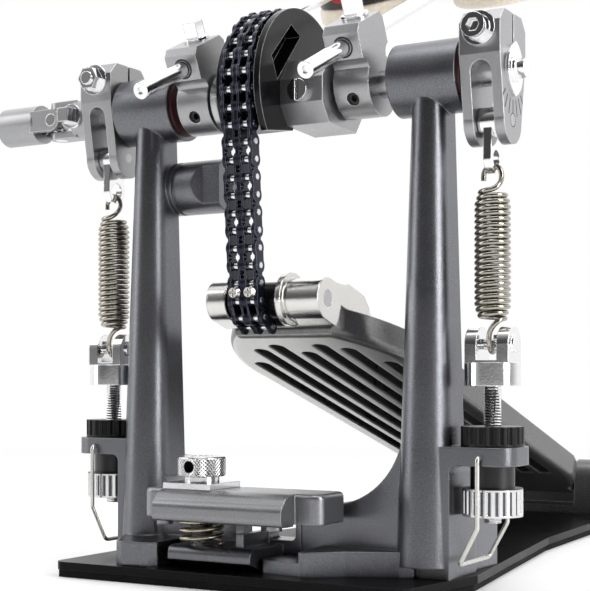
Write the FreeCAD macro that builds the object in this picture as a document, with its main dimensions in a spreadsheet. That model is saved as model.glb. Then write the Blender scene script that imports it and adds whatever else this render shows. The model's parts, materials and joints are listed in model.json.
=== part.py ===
import FreeCAD, Part
import math
import os
import Sketcher

# Double bass drum pedal, main unit. Millimetres, +Z up, floor at Z = 0.
# X runs along the axle, +Y points from the drum to the heel.

SIZES = [
    ("axle_height", 182.0), ("axle_dia", 10.0), ("run_gap", 0.05), ("side_gap", 0.3),
    ("post_x", 60.0), ("boss_dia", 26.0), ("boss_len", 26.0), ("bearing_dia", 19.0),
    ("arm_top", 52.0), ("arm_thick", 6.4), ("arm_half", 12.0),
    ("spring_x", 82.0), ("coil_dia", 12.4), ("wire_dia", 1.5), ("coil_rise", 1.95),
    ("lever_arm", 17.5), ("lever_width", 15.0), ("fork_width", 7.6), ("link_reach", 13.0),
    ("screw_dia", 6.0), ("knob_dia", 21.0), ("clevis_lift", 35.5),
    ("rubber_thick", 3.0), ("sheet_thick", 3.0),
    ("chain_x", -4.0), ("chain_pitch", 6.35), ("pitch_radius", 29.0), ("roller_dia", 3.3),
    ("strand_pitch", 6.4), ("side_plate", 0.75), ("side_height", 5.9),
    ("toe_y", -13.0), ("toe_z", 104.4), ("toe_radius", 10.0), ("toe_pin_dia", 6.0), ("toe_play", 2.6),
    ("heel_y", 250.0), ("heel_z", 25.0), ("heel_pin_dia", 6.0), ("board_half", 40.0), ("board_thick", 5.0),
    ("beater_tilt", 26.0), ("beater_rise", 17.2), ("beater_reach", 158.0), ("beater_dia", 6.0),
    ("left_beater_x", -36.0), ("right_beater_x", 32.5), ("felt_dia", 50.0), ("felt_thick", 10.5),
    ("clamp_x", -21.0), ("clamp_y", -27.0), ("jaw_top", 35.5), ("jaw_thick", 10.5), ("stud_dia", 8.0),
    ("yoke_dia", 16.0), ("yoke_pin_dia", 5.0), ("yoke_x", -109.0),
    ("drive_bore", 8.2), ("drive_depth", 18.0),
]

doc = FreeCAD.newDocument("double_bass_drum_pedal")
sheet = doc.addObject("Spreadsheet::Sheet", "sizes")
for row, (alias, number) in enumerate(SIZES, 1):
    sheet.set("A%d" % row, alias)
    sheet.set("B%d" % row, str(number))
    sheet.setAlias("B%d" % row, alias)
doc.recompute()

V = FreeCAD.Vector
X_AXIS = V(1, 0, 0)
PLANES = {"XY": "XY_Plane", "XZ": "XZ_Plane", "YZ": "YZ_Plane"}
PARTS = []


class Dim:
    """A size: its number now, and the sheet formula that gives it."""

    def __init__(self, value, text):
        self.value = value
        self.text = text

    def __add__(self, other):
        other = dim(other)
        return Dim(self.value + other.value, "(%s + %s)" % (self.text, other.text))

    def __radd__(self, other):
        return dim(other) + self

    def __sub__(self, other):
        other = dim(other)
        return Dim(self.value - other.value, "(%s - %s)" % (self.text, other.text))

    def __rsub__(self, other):
        return dim(other) - self

    def __mul__(self, other):
        other = dim(other)
        return Dim(self.value * other.value, "(%s * %s)" % (self.text, other.text))

    def __rmul__(self, other):
        return dim(other) * self

    def __truediv__(self, other):
        other = dim(other)
        return Dim(self.value / other.value, "(%s / %s)" % (self.text, other.text))

    def __neg__(self):
        return dim(-1.0) * self


def dim(x):
    if isinstance(x, Dim):
        return x
    return Dim(float(x), "(%r)" % float(x))


def size(alias):
    return Dim(float(sheet.get(alias)), "sizes." + alias)


def hypotenuse(a, b):
    return Dim(math.hypot(a.value, b.value), "sqrt(%s * %s + %s * %s)" % (a.text, a.text, b.text, b.text))


def bind(obj, prop, length):
    """Give a property its number and tie it to the sheet."""
    length = dim(length)
    if "." not in prop:
        setattr(obj, prop, length.value)
    if "sizes." in length.text:
        obj.setExpression(prop, length.text)


def place(obj, x=0.0, y=0.0, z=0.0, tilt=0.0):
    """Put a piece in the shared frame, turned about X by tilt degrees."""
    at = [dim(x), dim(y), dim(z)]
    obj.Placement = FreeCAD.Placement(V(*[d.value for d in at]), FreeCAD.Rotation(X_AXIS, tilt))
    for letter, d in zip("xyz", at):
        bind(obj, "Placement.Base." + letter, d)


def sub_part(label):
    body = doc.addObject("PartDesign::Body", label)
    body.Label = label
    PARTS.append(body)
    return body


def sketch_on(body, plane, offset):
    """Sketch on an origin plane of its own body, moved along that plane's axis."""
    sk = body.newObject("Sketcher::SketchObject", "sketch")
    base = [f for f in body.Origin.OriginFeatures if f.Role == PLANES[plane]][0]
    sk.AttachmentSupport = [(base, "")]
    sk.MapMode = "FlatFace"
    offset = -dim(offset) if plane == "XZ" else dim(offset)
    sk.AttachmentOffset = FreeCAD.Placement(V(0, 0, offset.value), FreeCAD.Rotation())
    bind(sk, "AttachmentOffset.Base.z", offset)
    return sk


def pin_point(sk, geo, pos, point):
    """Tie one sketch point to the origin by its two distances."""
    for kind, d in zip(("DistanceX", "DistanceY"), point):
        d = dim(d)
        n = sk.addConstraint(Sketcher.Constraint(kind, -1, 1, geo, pos, d.value))
        if "sizes." in d.text:
            sk.setExpression("Constraints[%d]" % n, d.text)


def centre_on_chord(sk, geo, a, b, flat):
    """Keep the centre of a half circle on the line between its ends."""
    kind, k = ("DistanceY", 1) if flat else ("DistanceX", 0)
    d = (a[k] + b[k]) / 2
    n = sk.addConstraint(Sketcher.Constraint(kind, -1, 1, geo, 3, d.value))
    if "sizes." in d.text:
        sk.setExpression("Constraints[%d]" % n, d.text)


def circle(x, y, dia):
    def draw(sk):
        x0, y0, d = dim(x), dim(y), dim(dia)
        geo = sk.addGeometry(Part.Circle(V(x0.value, y0.value, 0), V(0, 0, 1), d.value / 2), False)
        pin_point(sk, geo, 3, (x0, y0))
        n = sk.addConstraint(Sketcher.Constraint("Diameter", geo, d.value))
        if "sizes." in d.text:
            sk.setExpression("Constraints[%d]" % n, d.text)
    return draw


def outline(*corners):
    """Closed outline. A corner (x, y, r) starts an arc of radius r.

    The arc bulges left of its way, or right of it if r < 0.
    """
    def draw(sk):
        pts = [(dim(c[0]), dim(c[1])) for c in corners]
        flat = [V(p[0].value, p[1].value, 0) for p in pts]
        ends = []
        for i, c in enumerate(corners):
            a = flat[i]
            b = flat[(i + 1) % len(flat)]
            if len(c) == 2:
                geo = sk.addGeometry(Part.LineSegment(a, b), False)
                ends.append((geo, 1, 2))
                continue
            r = dim(c[2])
            way = b.sub(a)
            half = way.Length / 2
            side = 1.0 if r.value > 0 else -1.0
            left = V(-way.y, way.x, 0).normalize()
            rise = abs(r.value) - math.sqrt(max(r.value ** 2 - half ** 2, 0.0))
            mid = a.add(b).multiply(0.5).add(left * (side * rise))
            arc = Part.Arc(b, mid, a) if side > 0 else Part.Arc(a, mid, b)
            geo = sk.addGeometry(arc, False)
            ends.append((geo, 2, 1) if side > 0 else (geo, 1, 2))
            if rise > 0.999 * half:
                centre_on_chord(sk, geo, pts[i], pts[(i + 1) % len(pts)], abs(way.x) > abs(way.y))
                continue
            n = sk.addConstraint(Sketcher.Constraint("Radius", geo, abs(r.value)))
            if "sizes." in r.text:
                sk.setExpression("Constraints[%d]" % n, (r if r.value > 0 else -r).text)
        for i, (geo, start, end) in enumerate(ends):
            following = ends[(i + 1) % len(ends)]
            sk.addConstraint(Sketcher.Constraint("Coincident", geo, end, following[0], following[1]))
            pin_point(sk, geo, start, pts[i])
    return draw


def rectangle(x0, x1, y0, y1):
    return outline((x0, y0), (x1, y0), (x1, y1), (x0, y1))


def extrude(body, kind, plane, low, high, *loops):
    """Pad or pocket between two levels of the plane's axis."""
    sk = sketch_on(body, plane, (dim(low) + high) / 2)
    for loop in loops:
        loop(sk)
    feature = body.newObject("PartDesign::" + kind, kind.lower())
    feature.Profile = sk
    feature.SideType = "Symmetric"
    bind(feature, "Length", dim(high) - low)
    sk.Visibility = False
    return feature


def pad(body, plane, low, high, *loops):
    return extrude(body, "Pad", plane, low, high, *loops)


def pocket(body, plane, low, high, *loops):
    return extrude(body, "Pocket", plane, low, high, *loops)


def polar(body, feature, count):
    """Repeat a feature round the body's own Z axis."""
    pattern = body.newObject("PartDesign::PolarPattern", "pattern")
    pattern.Originals = [feature]
    base = [f for f in body.Origin.OriginFeatures if f.Role == "Z_Axis"][0]
    pattern.Axis = (base, [""])
    pattern.Angle = 360.0
    pattern.Occurrences = count
    body.Tip = pattern
    return pattern


def round_edges(body, radius, chosen):
    """Fillet the edges of the tip that the test picks."""
    doc.recompute()
    tip = body.Tip
    names = ["Edge%d" % (i + 1) for i, e in enumerate(tip.Shape.Edges) if chosen(e)]
    feature = body.newObject("PartDesign::Fillet", "fillet")
    feature.Base = (tip, names)
    bind(feature, "Radius", radius)
    return feature


def upright(edge):
    d = edge.Vertexes[-1].Point.sub(edge.Vertexes[0].Point)
    return d.Length > 1e-6 and abs(d.z) > 0.999 * d.Length


def rod(label, dia, start, length, way):
    """Plain round bar from start, as a primitive tied to the sheet."""
    bar = doc.addObject("Part::Cylinder", label)
    bind(bar, "Radius", dim(dia) / 2)
    bind(bar, "Height", length)
    at = [dim(c) for c in start]
    bar.Placement = FreeCAD.Placement(V(*[d.value for d in at]), FreeCAD.Rotation(V(0, 0, 1), V(*way)))
    for letter, d in zip("xyz", at):
        bind(bar, "Placement.Base." + letter, d)
    return bar


def hexagon(label, across, start, length, way):
    bar = doc.addObject("Part::Prism", label)
    bar.Polygon = 6
    bind(bar, "Circumradius", dim(across) / math.sqrt(3))
    bind(bar, "Height", length)
    at = [dim(c) for c in start]
    bar.Placement = FreeCAD.Placement(V(*[d.value for d in at]), FreeCAD.Rotation(V(0, 0, 1), V(*way)))
    for letter, d in zip("xyz", at):
        bind(bar, "Placement.Base." + letter, d)
    return bar


def fused(label, *pieces):
    joined = doc.addObject("Part::MultiFuse", label)
    joined.Shapes = list(pieces)
    return joined


def bored(label, piece, tool):
    result = doc.addObject("Part::Cut", label)
    result.Base = piece
    result.Tool = tool
    return result


def group(label, *pieces):
    held = doc.addObject("Part::Compound", label)
    held.Label = label
    held.Links = list(pieces)
    PARTS.append(held)
    return held


def made_shape(label, shape):
    piece = doc.addObject("Part::Feature", label)
    piece.Label = label
    piece.Shape = shape
    PARTS.append(piece)
    return piece


AXLE = size("axle_height")
SHAFT = size("axle_dia")
RUN = size("run_gap")
GAP = size("side_gap")
POST = size("post_x")
PITCH = size("chain_pitch").value
FLOOR = size("rubber_thick") + size("sheet_thick")
CLIP_WIRE = 1.6
CLIP_BEND = 1.7


# Base: a steel sheet on a rubber sheet, waisted behind the posts.
BOLTS = [(56, -8), (58, 22), (-56, -8), (-58, 22), (-8, 0), (4, 0), (-34, 272), (34, 272)]


def base_outline(inset):
    rear = size("heel_y") + 44 - inset
    return outline((-POST - 21 + inset, -39 + inset), (POST + 6 - inset, -38 + inset),
                   (POST + 14 - inset, 6), (POST + 6 - inset, 60), (POST - 4 - inset, 130),
                   (POST - 10 - inset, rear - 14), (POST - 24, rear), (-POST + 24, rear),
                   (-POST + 10 + inset, rear - 14),
                   (-POST + 4 + inset, 130), (-POST - 8 + inset, 60), (-POST - 20 + inset, 6))


def base():
    rubber = sub_part("base_rubber")
    pad(rubber, "XY", 0, size("rubber_thick"), base_outline(1.5))
    pocket(rubber, "XY", -1, 10, *[circle(x, y, 12.6) for x, y in BOLTS])
    plate = sub_part("base_plate")
    pad(plate, "XY", size("rubber_thick"), FLOOR, base_outline(0))
    pocket(plate, "XY", -1, 10, *[circle(x, y, size("screw_dia") + 0.4) for x, y in BOLTS])
    round_edges(plate, 4, upright_long)
    bolts = []
    for x, y in BOLTS:
        head = rod("head", 12, (x, y, 0.6), size("rubber_thick") - 0.6, (0, 0, 1))
        reach = size("sheet_thick") + 7
        shank = rod("shank", size("screw_dia"), (x, y, size("rubber_thick")), reach, (0, 0, 1))
        bolts.append(fused("bolt", head, shank))
    group("frame_bolts", *bolts)


def upright_long(edge):
    x, y = edge.Vertexes[0].Point.x, edge.Vertexes[0].Point.y
    return upright(edge) and (y < -30 or y > 250) and abs(x) > 20 and edge.Curve.TypeId == "Part::GeomLine"


# Posts: cast columns with a bearing boss, a spring bracket, a flared inner wall and a foot.
def post(label, s):
    body = sub_part(label)
    low = sketch_on(body, "XY", FLOOR + 4)
    column_section(s, 10.5, -6.5, 8)(low)
    high = sketch_on(body, "XY", AXLE - 4)
    column_section(s, 6, -4, 7)(high)
    loft = body.newObject("PartDesign::AdditiveLoft", "loft")
    loft.Profile = low
    loft.Sections = [high]
    loft.Ruled = True
    boss0 = s * POST - size("boss_len") / 2
    boss1 = s * POST + size("boss_len") / 2
    pad(body, "YZ", boss0, boss1, circle(0, AXLE, size("boss_dia")))
    bracket(body, s)
    fin0, fin1 = ordered(s, POST - 4, POST + 9)
    fin = outline((-2, FLOOR), (37, FLOOR), (37, FLOOR + 16), (24, 44), (-2, 46))
    pad(body, "YZ", fin0, fin1, fin)
    pad(body, "XZ", -10, 13, flare(s))
    pad(body, "XY", FLOOR, FLOOR + 9, foot(s))
    if s > 0:
        toe = outline((4, -14), (4, -26), (6, -28), (23, -31), (24, -8), (20, -5.4))
        pad(body, "XY", FLOOR, FLOOR + 5, toe)
    pocket(body, "YZ", boss0 - 1, boss1 + 1, circle(0, AXLE, SHAFT + 4))
    for a, b in ((boss0 - 1, boss0 + 5.5), (boss1 - 5.5, boss1 + 1)):
        pocket(body, "YZ", a, b, circle(0, AXLE, size("bearing_dia")))
    bore = circle(s * size("spring_x"), 0, size("screw_dia") + 2 * RUN)
    pocket(body, "XY", 30, size("arm_top") + 1, bore)
    side = size("arm_half")
    for a, b in ((-side - 1, 7 - side), (side - 7, side + 1)):
        pocket(body, "XZ", a, b, circle(s * size("spring_x"), size("arm_top") - 3.2, CLIP_WIRE + 0.02))
    held = [circle(x, y, size("screw_dia")) for x, y in BOLTS if x * s > 40 and y < 100]
    pocket(body, "XY", 0, FLOOR + 7.2, *held)
    if s < 0:
        side_cylinder(body)
    end = bracket_end().value
    round_edges(body, 7.4, lambda e: upright(e) and abs(e.Vertexes[0].Point.x * s - end) < 0.01)


def flare(s):
    """Inner wall that sweeps down from the column; the right one runs on to the clamp."""
    if s > 0:
        return outline((11.5, FLOOR), (POST, FLOOR), (POST, 62), (52.5, 62, 30), (24, 30),
                       (14.5, 28.5, -3), (11.5, 25.5))
    return outline((-24, FLOOR), (-POST, FLOOR), (-POST, 40), (-52.5, 40, -30), (-24, 30))


def bracket_end():
    return size("spring_x") + size("knob_dia") / 2 + 0.5


def bracket(body, s):
    """Spring arm that grows out of the column, with a gusset beside the fluted nut."""
    under = size("arm_top") - size("arm_thick")
    near = size("spring_x") - size("knob_dia") / 2 - 0.6
    bend = 2.8
    end = bracket_end()
    shape = outline((s * POST, size("arm_top")), (s * POST, FLOOR), (s * near, FLOOR),
                    (s * near, under - bend, bend * s), (s * (near + bend), under),
                    (s * end, under), (s * end, size("arm_top")))
    pad(body, "XZ", -size("arm_half"), size("arm_half"), shape)


def foot(s):
    """Plan of the foot; the right one has a broad toe, the left one a narrow toe beside the clamp."""
    if s > 0:
        return outline((22, -30.8), (25, -31), (36, -22), (53, -14.5), (61, -8), (69, 0), (69, 30),
                       (60, 38), (48, 38), (38, 16), (20, 13), (20, -5.4))
    return outline((-24, -8), (-24, 13), (-38, 16), (-48, 38), (-60, 38), (-69, 30), (-69, 2),
                   (-62, -21), (-54, -35), (-51, -36), (-40, -35), (-37.5, -32), (-37, -18))


def side_cylinder(body):
    """Round stub on the inner side of the left post, with a neck groove and a wedge flat."""
    level = AXLE - 31
    pad(body, "YZ", -POST + 3, -POST + 30, circle(6, level, 21))
    pocket(body, "YZ", -POST + 9, -POST + 10.4, circle(6, level, 23), circle(6, level, 19.4))
    flat = outline((-POST + 17, -6), (-POST + 22, -1.5), (-POST + 31, -1.5), (-POST + 31, -6))
    pocket(body, "XY", level - 12, level + 12, flat)


def ordered(s, a, b):
    return (dim(a), dim(b)) if s > 0 else (-dim(b), -dim(a))


def column_section(s, half, nose, rear):
    return outline((POST * s - half, nose, -half), (POST * s + half, nose), (POST * s + half, rear - 3),
                   (POST * s + half - 3, rear), (POST * s - half + 3, rear), (POST * s - half, rear - 3))


def bearings():
    rings = []
    for s in (1, -1):
        for side in (1, -1):
            face = s * POST + side * size("boss_len") / 2
            inner = face - side * 5.5
            ring = rod("ring", size("bearing_dia"), (inner, 0, AXLE), 5.5, (side, 0, 0))
            lip = rod("lip", size("bearing_dia") + 3.4, (face, 0, AXLE), 1.0, (side, 0, 0))
            hole = rod("hole", SHAFT + 2 * RUN, (inner - side, 0, AXLE), 9, (side, 0, 0))
            rings.append(bored("bearing", fused("race", ring, lip), hole))
    group("axle_bearings", *rings)


# Hoop clamp: cast bridge with the stud, a sliding jaw on a spring, and a knurled nut.
def hoop_clamp():
    bridge = sub_part("front_bridge")
    seat = FLOOR + 8.5
    skirt = outline((12, FLOOR), (12, seat), (-30.5, seat, -3), (-33, seat - 2.8), (-33, FLOOR + 3.5),
                    (-24, FLOOR))
    pad(bridge, "YZ", -32, 3.4, skirt)
    pad(bridge, "YZ", 3.3, 11.2, outline((12, FLOOR), (12, seat), (-10, seat), (-10, FLOOR)))
    pad(bridge, "XZ", -10, -4, wall_outline(seat))
    pocket(bridge, "XZ", -11, -3, window(-17, -6), window(-2, 9))
    pad(bridge, "XY", seat - 1, 19.4, rectangle(-5.5, -2.5, -28, -9))
    corner = outline((-33, -20), (-33, 13), (-23.8, 13), (-23.8, -10.6), (-31, -16.4))
    pocket(bridge, "XY", 0, 40, corner)
    root = FLOOR + 4.6
    pocket(bridge, "XY", root, 40, circle(size("clamp_x"), size("clamp_y"), size("stud_dia")))
    held = [circle(x, y, size("screw_dia")) for x, y in BOLTS if abs(x) < 20]
    pocket(bridge, "XY", 0, FLOOR + 7.2, *held)
    tall = size("jaw_top") + 11.5 - root
    stud = rod("stud", size("stud_dia"), (size("clamp_x"), size("clamp_y"), root), tall, (0, 0, 1))
    group("clamp_stud", stud)
    clamp_jaw()
    clamp_nut()
    foot_z = seat.value
    top = (size("jaw_top") - size("jaw_thick")).value
    radius, wire, turns = 7.6, 1.6, 3
    rise = (top - foot_z - wire - 0.1) / turns
    at = V(size("clamp_x").value, size("clamp_y").value, foot_z + wire / 2 + 0.05)
    marks = helix_marks(radius, rise, turns, 0.0)
    made_shape("clamp_spring", wire_tube([(p.add(at), d) for p, d in marks], wire, "clamp_spring"))


def clamp_jaw():
    jaw = sub_part("clamp_jaw")
    top = size("jaw_top")
    under = top - size("jaw_thick")
    plan = outline((-42, -31, -4), (-38, -35), (29, -35, -4), (33, -31), (33, -19, -5), (28, -14),
                   (-37, -14, -5), (-42, -19))
    pad(jaw, "XY", under, top, plan)
    lip = outline((-33, under), (-33, top), (-36, top, -8), (-43, top - 3.4, -3), (-44.6, top - 6),
                  (-44.6, under + 2, -2.6), (-42, under - 0.6), (-36, under - 0.6), (-36, under))
    pad(jaw, "YZ", -31, 23, lip)
    pad(jaw, "XY", under - 3.5, under + 1, circle(-37.5, -27, 6), circle(11, -29, 6))
    pocket(jaw, "XY", 0, 60, circle(size("clamp_x"), size("clamp_y"), size("stud_dia") + 0.8))
    round_edges(jaw, 1.6, lambda e: on_jaw_rim(e, top.value))


def on_jaw_rim(edge, level):
    box = edge.BoundBox
    flat = abs(box.ZMin - level) < 0.01 and box.ZLength < 0.01
    rear = box.YMin > -34.9 or abs(edge.Vertexes[0].Point.x) > 31.5
    return flat and rear and edge.Length > 4 and box.YMax > -33.5


def clamp_nut():
    nut = sub_part("clamp_knob")
    pad(nut, "XY", 0, 2.2, rectangle(-10.2, 10.2, -10.2, 10.2))
    pad(nut, "XY", 2.1, 4.4, circle(0, 0, 13))
    pad(nut, "XY", 4.3, 11.6, circle(0, 0, 17.6))
    pocket(nut, "XY", -1, 20, circle(0, 0, size("stud_dia") + 2 * RUN))
    pocket(nut, "XZ", -12, -4.5, circle(0, 8, 4.4))
    rims = (4.3, 11.6)
    round_edges(nut, 0.7, lambda e: e.BoundBox.ZLength < 0.01 and abs(e.BoundBox.XLength - 17.6) < 0.01
                and min(abs(e.BoundBox.ZMin - z) for z in rims) < 0.01)
    place(nut, size("clamp_x"), size("clamp_y"), size("jaw_top") + 0.02)


def wall_outline(seat):
    return outline((-23.8, seat - 1), (11.2, seat - 1), (11.2, 26, -3), (8.2, 29), (-20.8, 29, -3),
                   (-23.8, 26))


def window(x0, x1):
    low, high, r = FLOOR + 10, 26, 2
    return outline((x0 + r, low), (x1 - r, low, -r), (x1, low + r), (x1, high - r, -r), (x1 - r, high),
                   (x0 + r, high, -r), (x0, high - r), (x0, low + r, -r))


# Springs: one wire of biarcs, a quarter turn each, swept by a circle.
def helix_marks(radius, rise, turns, start):
    """Points and directions of a rising coil, one mark for each quarter turn."""
    marks = []
    for i in range(int(round(turns * 4)) + 1):
        a = start + i * math.pi / 2
        p = V(radius * math.cos(a), radius * math.sin(a), rise * i / 4.0)
        d = V(-radius * math.sin(a), radius * math.cos(a), rise / (2 * math.pi)).normalize()
        marks.append((p, d))
    return marks


def bent(p, d, q):
    """Arc from p, leaving along d, to q; a straight line if d points at q."""
    chord = q.sub(p)
    along = V(chord.x, chord.y, chord.z).normalize()
    cos = max(-1.0, min(1.0, d.dot(along)))
    if cos > 1 - 1e-9:
        return Part.makeLine(p, q)
    side = d.sub(along * cos).normalize()
    mid = p.add(chord * 0.5).add(side * (chord.Length / 2 * math.tan(math.acos(cos) / 2)))
    return Part.Arc(p, mid, q).toShape()


def biarc(p, dp, q, dq):
    """Two arcs that join p and q with the given directions."""
    v = q.sub(p)
    t = dp.add(dq)
    a = 2 * (1 - dp.dot(dq))
    b = 2 * v.dot(t)
    c = -v.dot(v)
    if abs(a) < 1e-9:
        reach = -c / b
    else:
        reach = (-b + math.sqrt(b * b - 4 * a * c)) / (2 * a)
    mid = p.add(dp * reach).add(q.sub(dq * reach)).multiply(0.5)
    along = q.sub(dq * reach).sub(p.add(dp * reach)).normalize()
    return [bent(p, dp, mid), bent(mid, along, q)]


def wire_tube(marks, dia, name):
    """Sweep a round wire along biarcs and print the least gap that it leaves to itself."""
    edges = []
    for (p, dp), (q, dq) in zip(marks, marks[1:]):
        edges.extend(biarc(p, dp, q, dq))
    spine = Part.Wire(edges)
    ring = Part.Wire([Part.Circle(marks[0][0], marks[0][1], dia / 2).toShape()])
    shell = Part.BRepOffsetAPI.MakePipeShell(spine)
    shell.add(ring)
    shell.build()
    shell.makeSolid()
    pts = []
    run = 0.0
    for e in edges:
        steps = max(3, int(e.Length / 0.5))
        for k in range(steps):
            u = e.FirstParameter + (e.LastParameter - e.FirstParameter) * k / steps
            pts.append((run + e.Length * k / steps, e.valueAt(u)))
        run += e.Length
    least = 1e9
    for i in range(len(pts)):
        for j in range(i + 1, len(pts)):
            if pts[j][0] - pts[i][0] > 4 * dia:
                least = min(least, pts[j][1].sub(pts[i][1]).Length)
    print("%s: least gap to itself %.2f mm" % (name, least - dia))
    return shell.shape()


def tension_spring(label, s):
    wire = size("wire_dia").value
    radius = (size("coil_dia").value - wire) / 2
    rise = size("coil_rise").value
    hook = 3.3
    eye = AXLE.value - size("lever_arm").value - size("link_reach").value - 3.1 + wire / 2 + 0.48
    pin = clevis_pin().value - 2.0 - wire / 2 - 0.05
    top = eye - 9.2
    bottom = pin + 11.6
    turns = math.floor((top - bottom) / rise - 0.75 + 1e-6) + 0.75
    rise = (top - bottom) / turns
    coil = [(p.add(V(0, 0, bottom)), d) for p, d in helix_marks(radius, rise, turns, 0.0)]
    up = V(0, 0, 1)
    tail = [
        (V(0, hook, pin + 4.6 + wire), V(0, 0, -1)), (V(0, hook, pin + 4.6), V(0, 0, -1)),
        (V(0, 0, pin), V(0, -1, 0)), (V(0, -hook, pin + 4.6), up),
        (V(2.6, -3.6, bottom - 1.9), V(0.62, 0.1, 0.78).normalize())]
    nose = [
        (V(3.1, -3.0, top + 2.2), V(0.25, 0.62, 0.75).normalize()), (V(hook, 0, top + 5.4), up),
        (V(0, 0, eye), V(-1, 0, 0)), (V(-hook, 0, top + 5.4), V(0, 0, -1)),
        (V(-hook, 0, top + 5.4 - wire), V(0, 0, -1))]
    at = V(s * size("spring_x").value, 0, 0)
    marks = [(p.add(at), d) for p, d in tail + coil + nose]
    made_shape(label, wire_tube(marks, wire, label))


# Levers: forked arms clamped on the axle ends, each carrying a spring link on a pin.
def lever(side, s):
    body = sub_part(side + "_lever")
    half = size("lever_width") / 2
    mid = s * size("spring_x")
    reach = size("lever_arm")
    sides = outline((12, 4), (12, 15), (8, 19.3), (-8, 19.3), (-12, 15), (-12, 4),
                    (-8.2, -reach, -8.2), (8.2, -reach))
    pad(body, "YZ", mid - half, mid + half, sides)
    fork = size("fork_width") / 2
    gap = outline((mid + fork, -2.0, -fork), (mid - fork, -2.0), (mid - fork, -40), (mid + fork, -40))
    pocket(body, "XZ", -14, 14, gap)
    pocket(body, "YZ", mid - half - 1, mid + half + 1, circle(0, 0, SHAFT), circle(0, -reach, 4))
    pocket(body, "YZ", mid - half - 1, mid + half + 1, rectangle(-0.7, 0.7, 2, 22))
    pocket(body, "XZ", -14, 14, circle(mid, 12.4, 5))
    place(body, 0, 0, AXLE)
    pin = rod(side + "_pin", 4, (mid - half, 0, AXLE - reach), size("lever_width"), (1, 0, 0))
    group(side + "_lever_pin", pin)
    front = -1 if s > 0 else 1
    level = AXLE + 12.4
    head = bored("cap", rod("head", 8.6, (mid, front * 13.2, level), 5, (0, front, 0)),
                 hexagon("socket", 4, (mid, front * 16.2, level), 3, (0, front, 0)))
    bolt = fused("bolt", rod("shank", 5, (mid, -front * 18.4, level), 31.6, (0, front, 0)), head)
    loose = []
    for way in (front, -front):
        ring = rod("washer", 12, (mid, way * 12, level), 1.2, (0, way, 0))
        loose.append(bored("washer", ring, rod("hole", 5, (mid, way * 11, level), 4, (0, way, 0))))
    nut = bored("nut", hexagon("nut", 8, (mid, -front * 13.2, level), 4.2, (0, -front, 0)),
                rod("hole", 5, (mid, -front * 12, level), 8, (0, -front, 0)))
    group(side + "_lever_bolt", bolt, nut, *loose)


def link(side, s):
    body = sub_part(side + "_spring_link")
    reach = size("link_reach")
    width = size("fork_width") / 2 - GAP
    pad(body, "YZ", -width, width, circle(0, 0, 10.6))
    tongue = outline((4.6, 0), (-4.6, 0), (-5, -reach, -5), (5, -reach))
    pad(body, "YZ", -1.5, 1.5, tongue)
    pocket(body, "YZ", -9, 9, circle(0, 0, 4 + 2 * RUN), circle(0, -reach, 6.2))
    place(body, s * size("spring_x"), 0, AXLE - size("lever_arm"))


def index_plate():
    face = size("spring_x") + size("lever_width") / 2
    body = sub_part("index_plate")
    pad(body, "YZ", face, face + 1.2, outline((0, -9.5, -10), (0, 9.5, -10)))
    pad(body, "YZ", face + 1.1, face + 2.4, circle(0, 0, 9))
    pad(body, "YZ", face + 2.3, face + 5.2, circle(0, 0, 7))
    pad(body, "YZ", face - 9, face + 0.2, circle(0, 0, 5))
    place(body, 0, 0, AXLE)


def clevis_pin():
    """Height of the pin that holds the lower spring hook."""
    return size("arm_top") + size("clevis_lift")


# Tension rods: forked head on a threaded rod, a lock nut above the arm and a fluted nut below it.
def tension(side, s):
    at = s * size("spring_x")
    body = sub_part(side + "_tension_rod")
    pin = clevis_pin()
    end = size("arm_top") - size("arm_thick") - 20
    pad(body, "XY", end, pin - 14, circle(0, 0, size("screw_dia")))
    pad(body, "XY", pin - 14.5, pin - 6.5, circle(0, 0, 19.6))
    cheek = outline((6, pin - 7), (6, pin, -6.0), (-6, pin), (-6, pin - 7))
    pad(body, "YZ", -8, 8, cheek)
    pocket(body, "XZ", -8, 8, rectangle(-3.7, 3.7, pin - 5.6, pin + 9))
    pad(body, "YZ", -8, 8, circle(0, pin, 4))
    pad(body, "YZ", 7.9, 8.9, circle(0, pin, 6.4))
    place(body, at, 0, 0)
    lock = sub_part(side + "_lock_knob")
    pad(lock, "XY", 0.02, 7, circle(0, 0, size("knob_dia") + 1))
    pocket(lock, "XY", -1, 9, circle(0, 0, size("screw_dia") + 2 * RUN))
    flute = pocket(lock, "XY", 0.9, 9, circle(size("knob_dia") / 2 + 0.9, 0, 2.4))
    polar(lock, flute, 20)
    place(lock, at, 0, size("arm_top"))
    knob = sub_part(side + "_tension_knob")
    pad(knob, "XY", -8, -0.02, circle(0, 0, 15.4))
    pad(knob, "XY", -17.6, -7.9, circle(0, 0, size("knob_dia")))
    pocket(knob, "XY", -20, 1, circle(0, 0, size("screw_dia") + 2 * RUN))
    flute = pocket(knob, "XY", -16.8, -8.7, circle(size("knob_dia") / 2 + 0.3, 0, 1.7))
    polar(knob, flute, 24)
    place(knob, at, 0, size("arm_top") - size("arm_thick"))


def smooth_wire(points, bend):
    """Edges of a polyline whose corners are rounded."""
    edges = []
    last = points[0]
    for a, b, c in zip(points, points[1:], points[2:]):
        back = a.sub(b).normalize()
        on = c.sub(b).normalize()
        half = math.acos(max(-1.0, min(1.0, back.dot(on)))) / 2
        cut = bend / math.tan(half)
        p, q = b.add(back * cut), b.add(on * cut)
        mid = b.add(back.add(on).normalize() * (bend / math.sin(half) - bend))
        edges.append(Part.makeLine(last, p))
        edges.append(Part.Arc(p, mid, q).toShape())
        last = q
    edges.append(Part.makeLine(last, points[-1]))
    return edges


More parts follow.
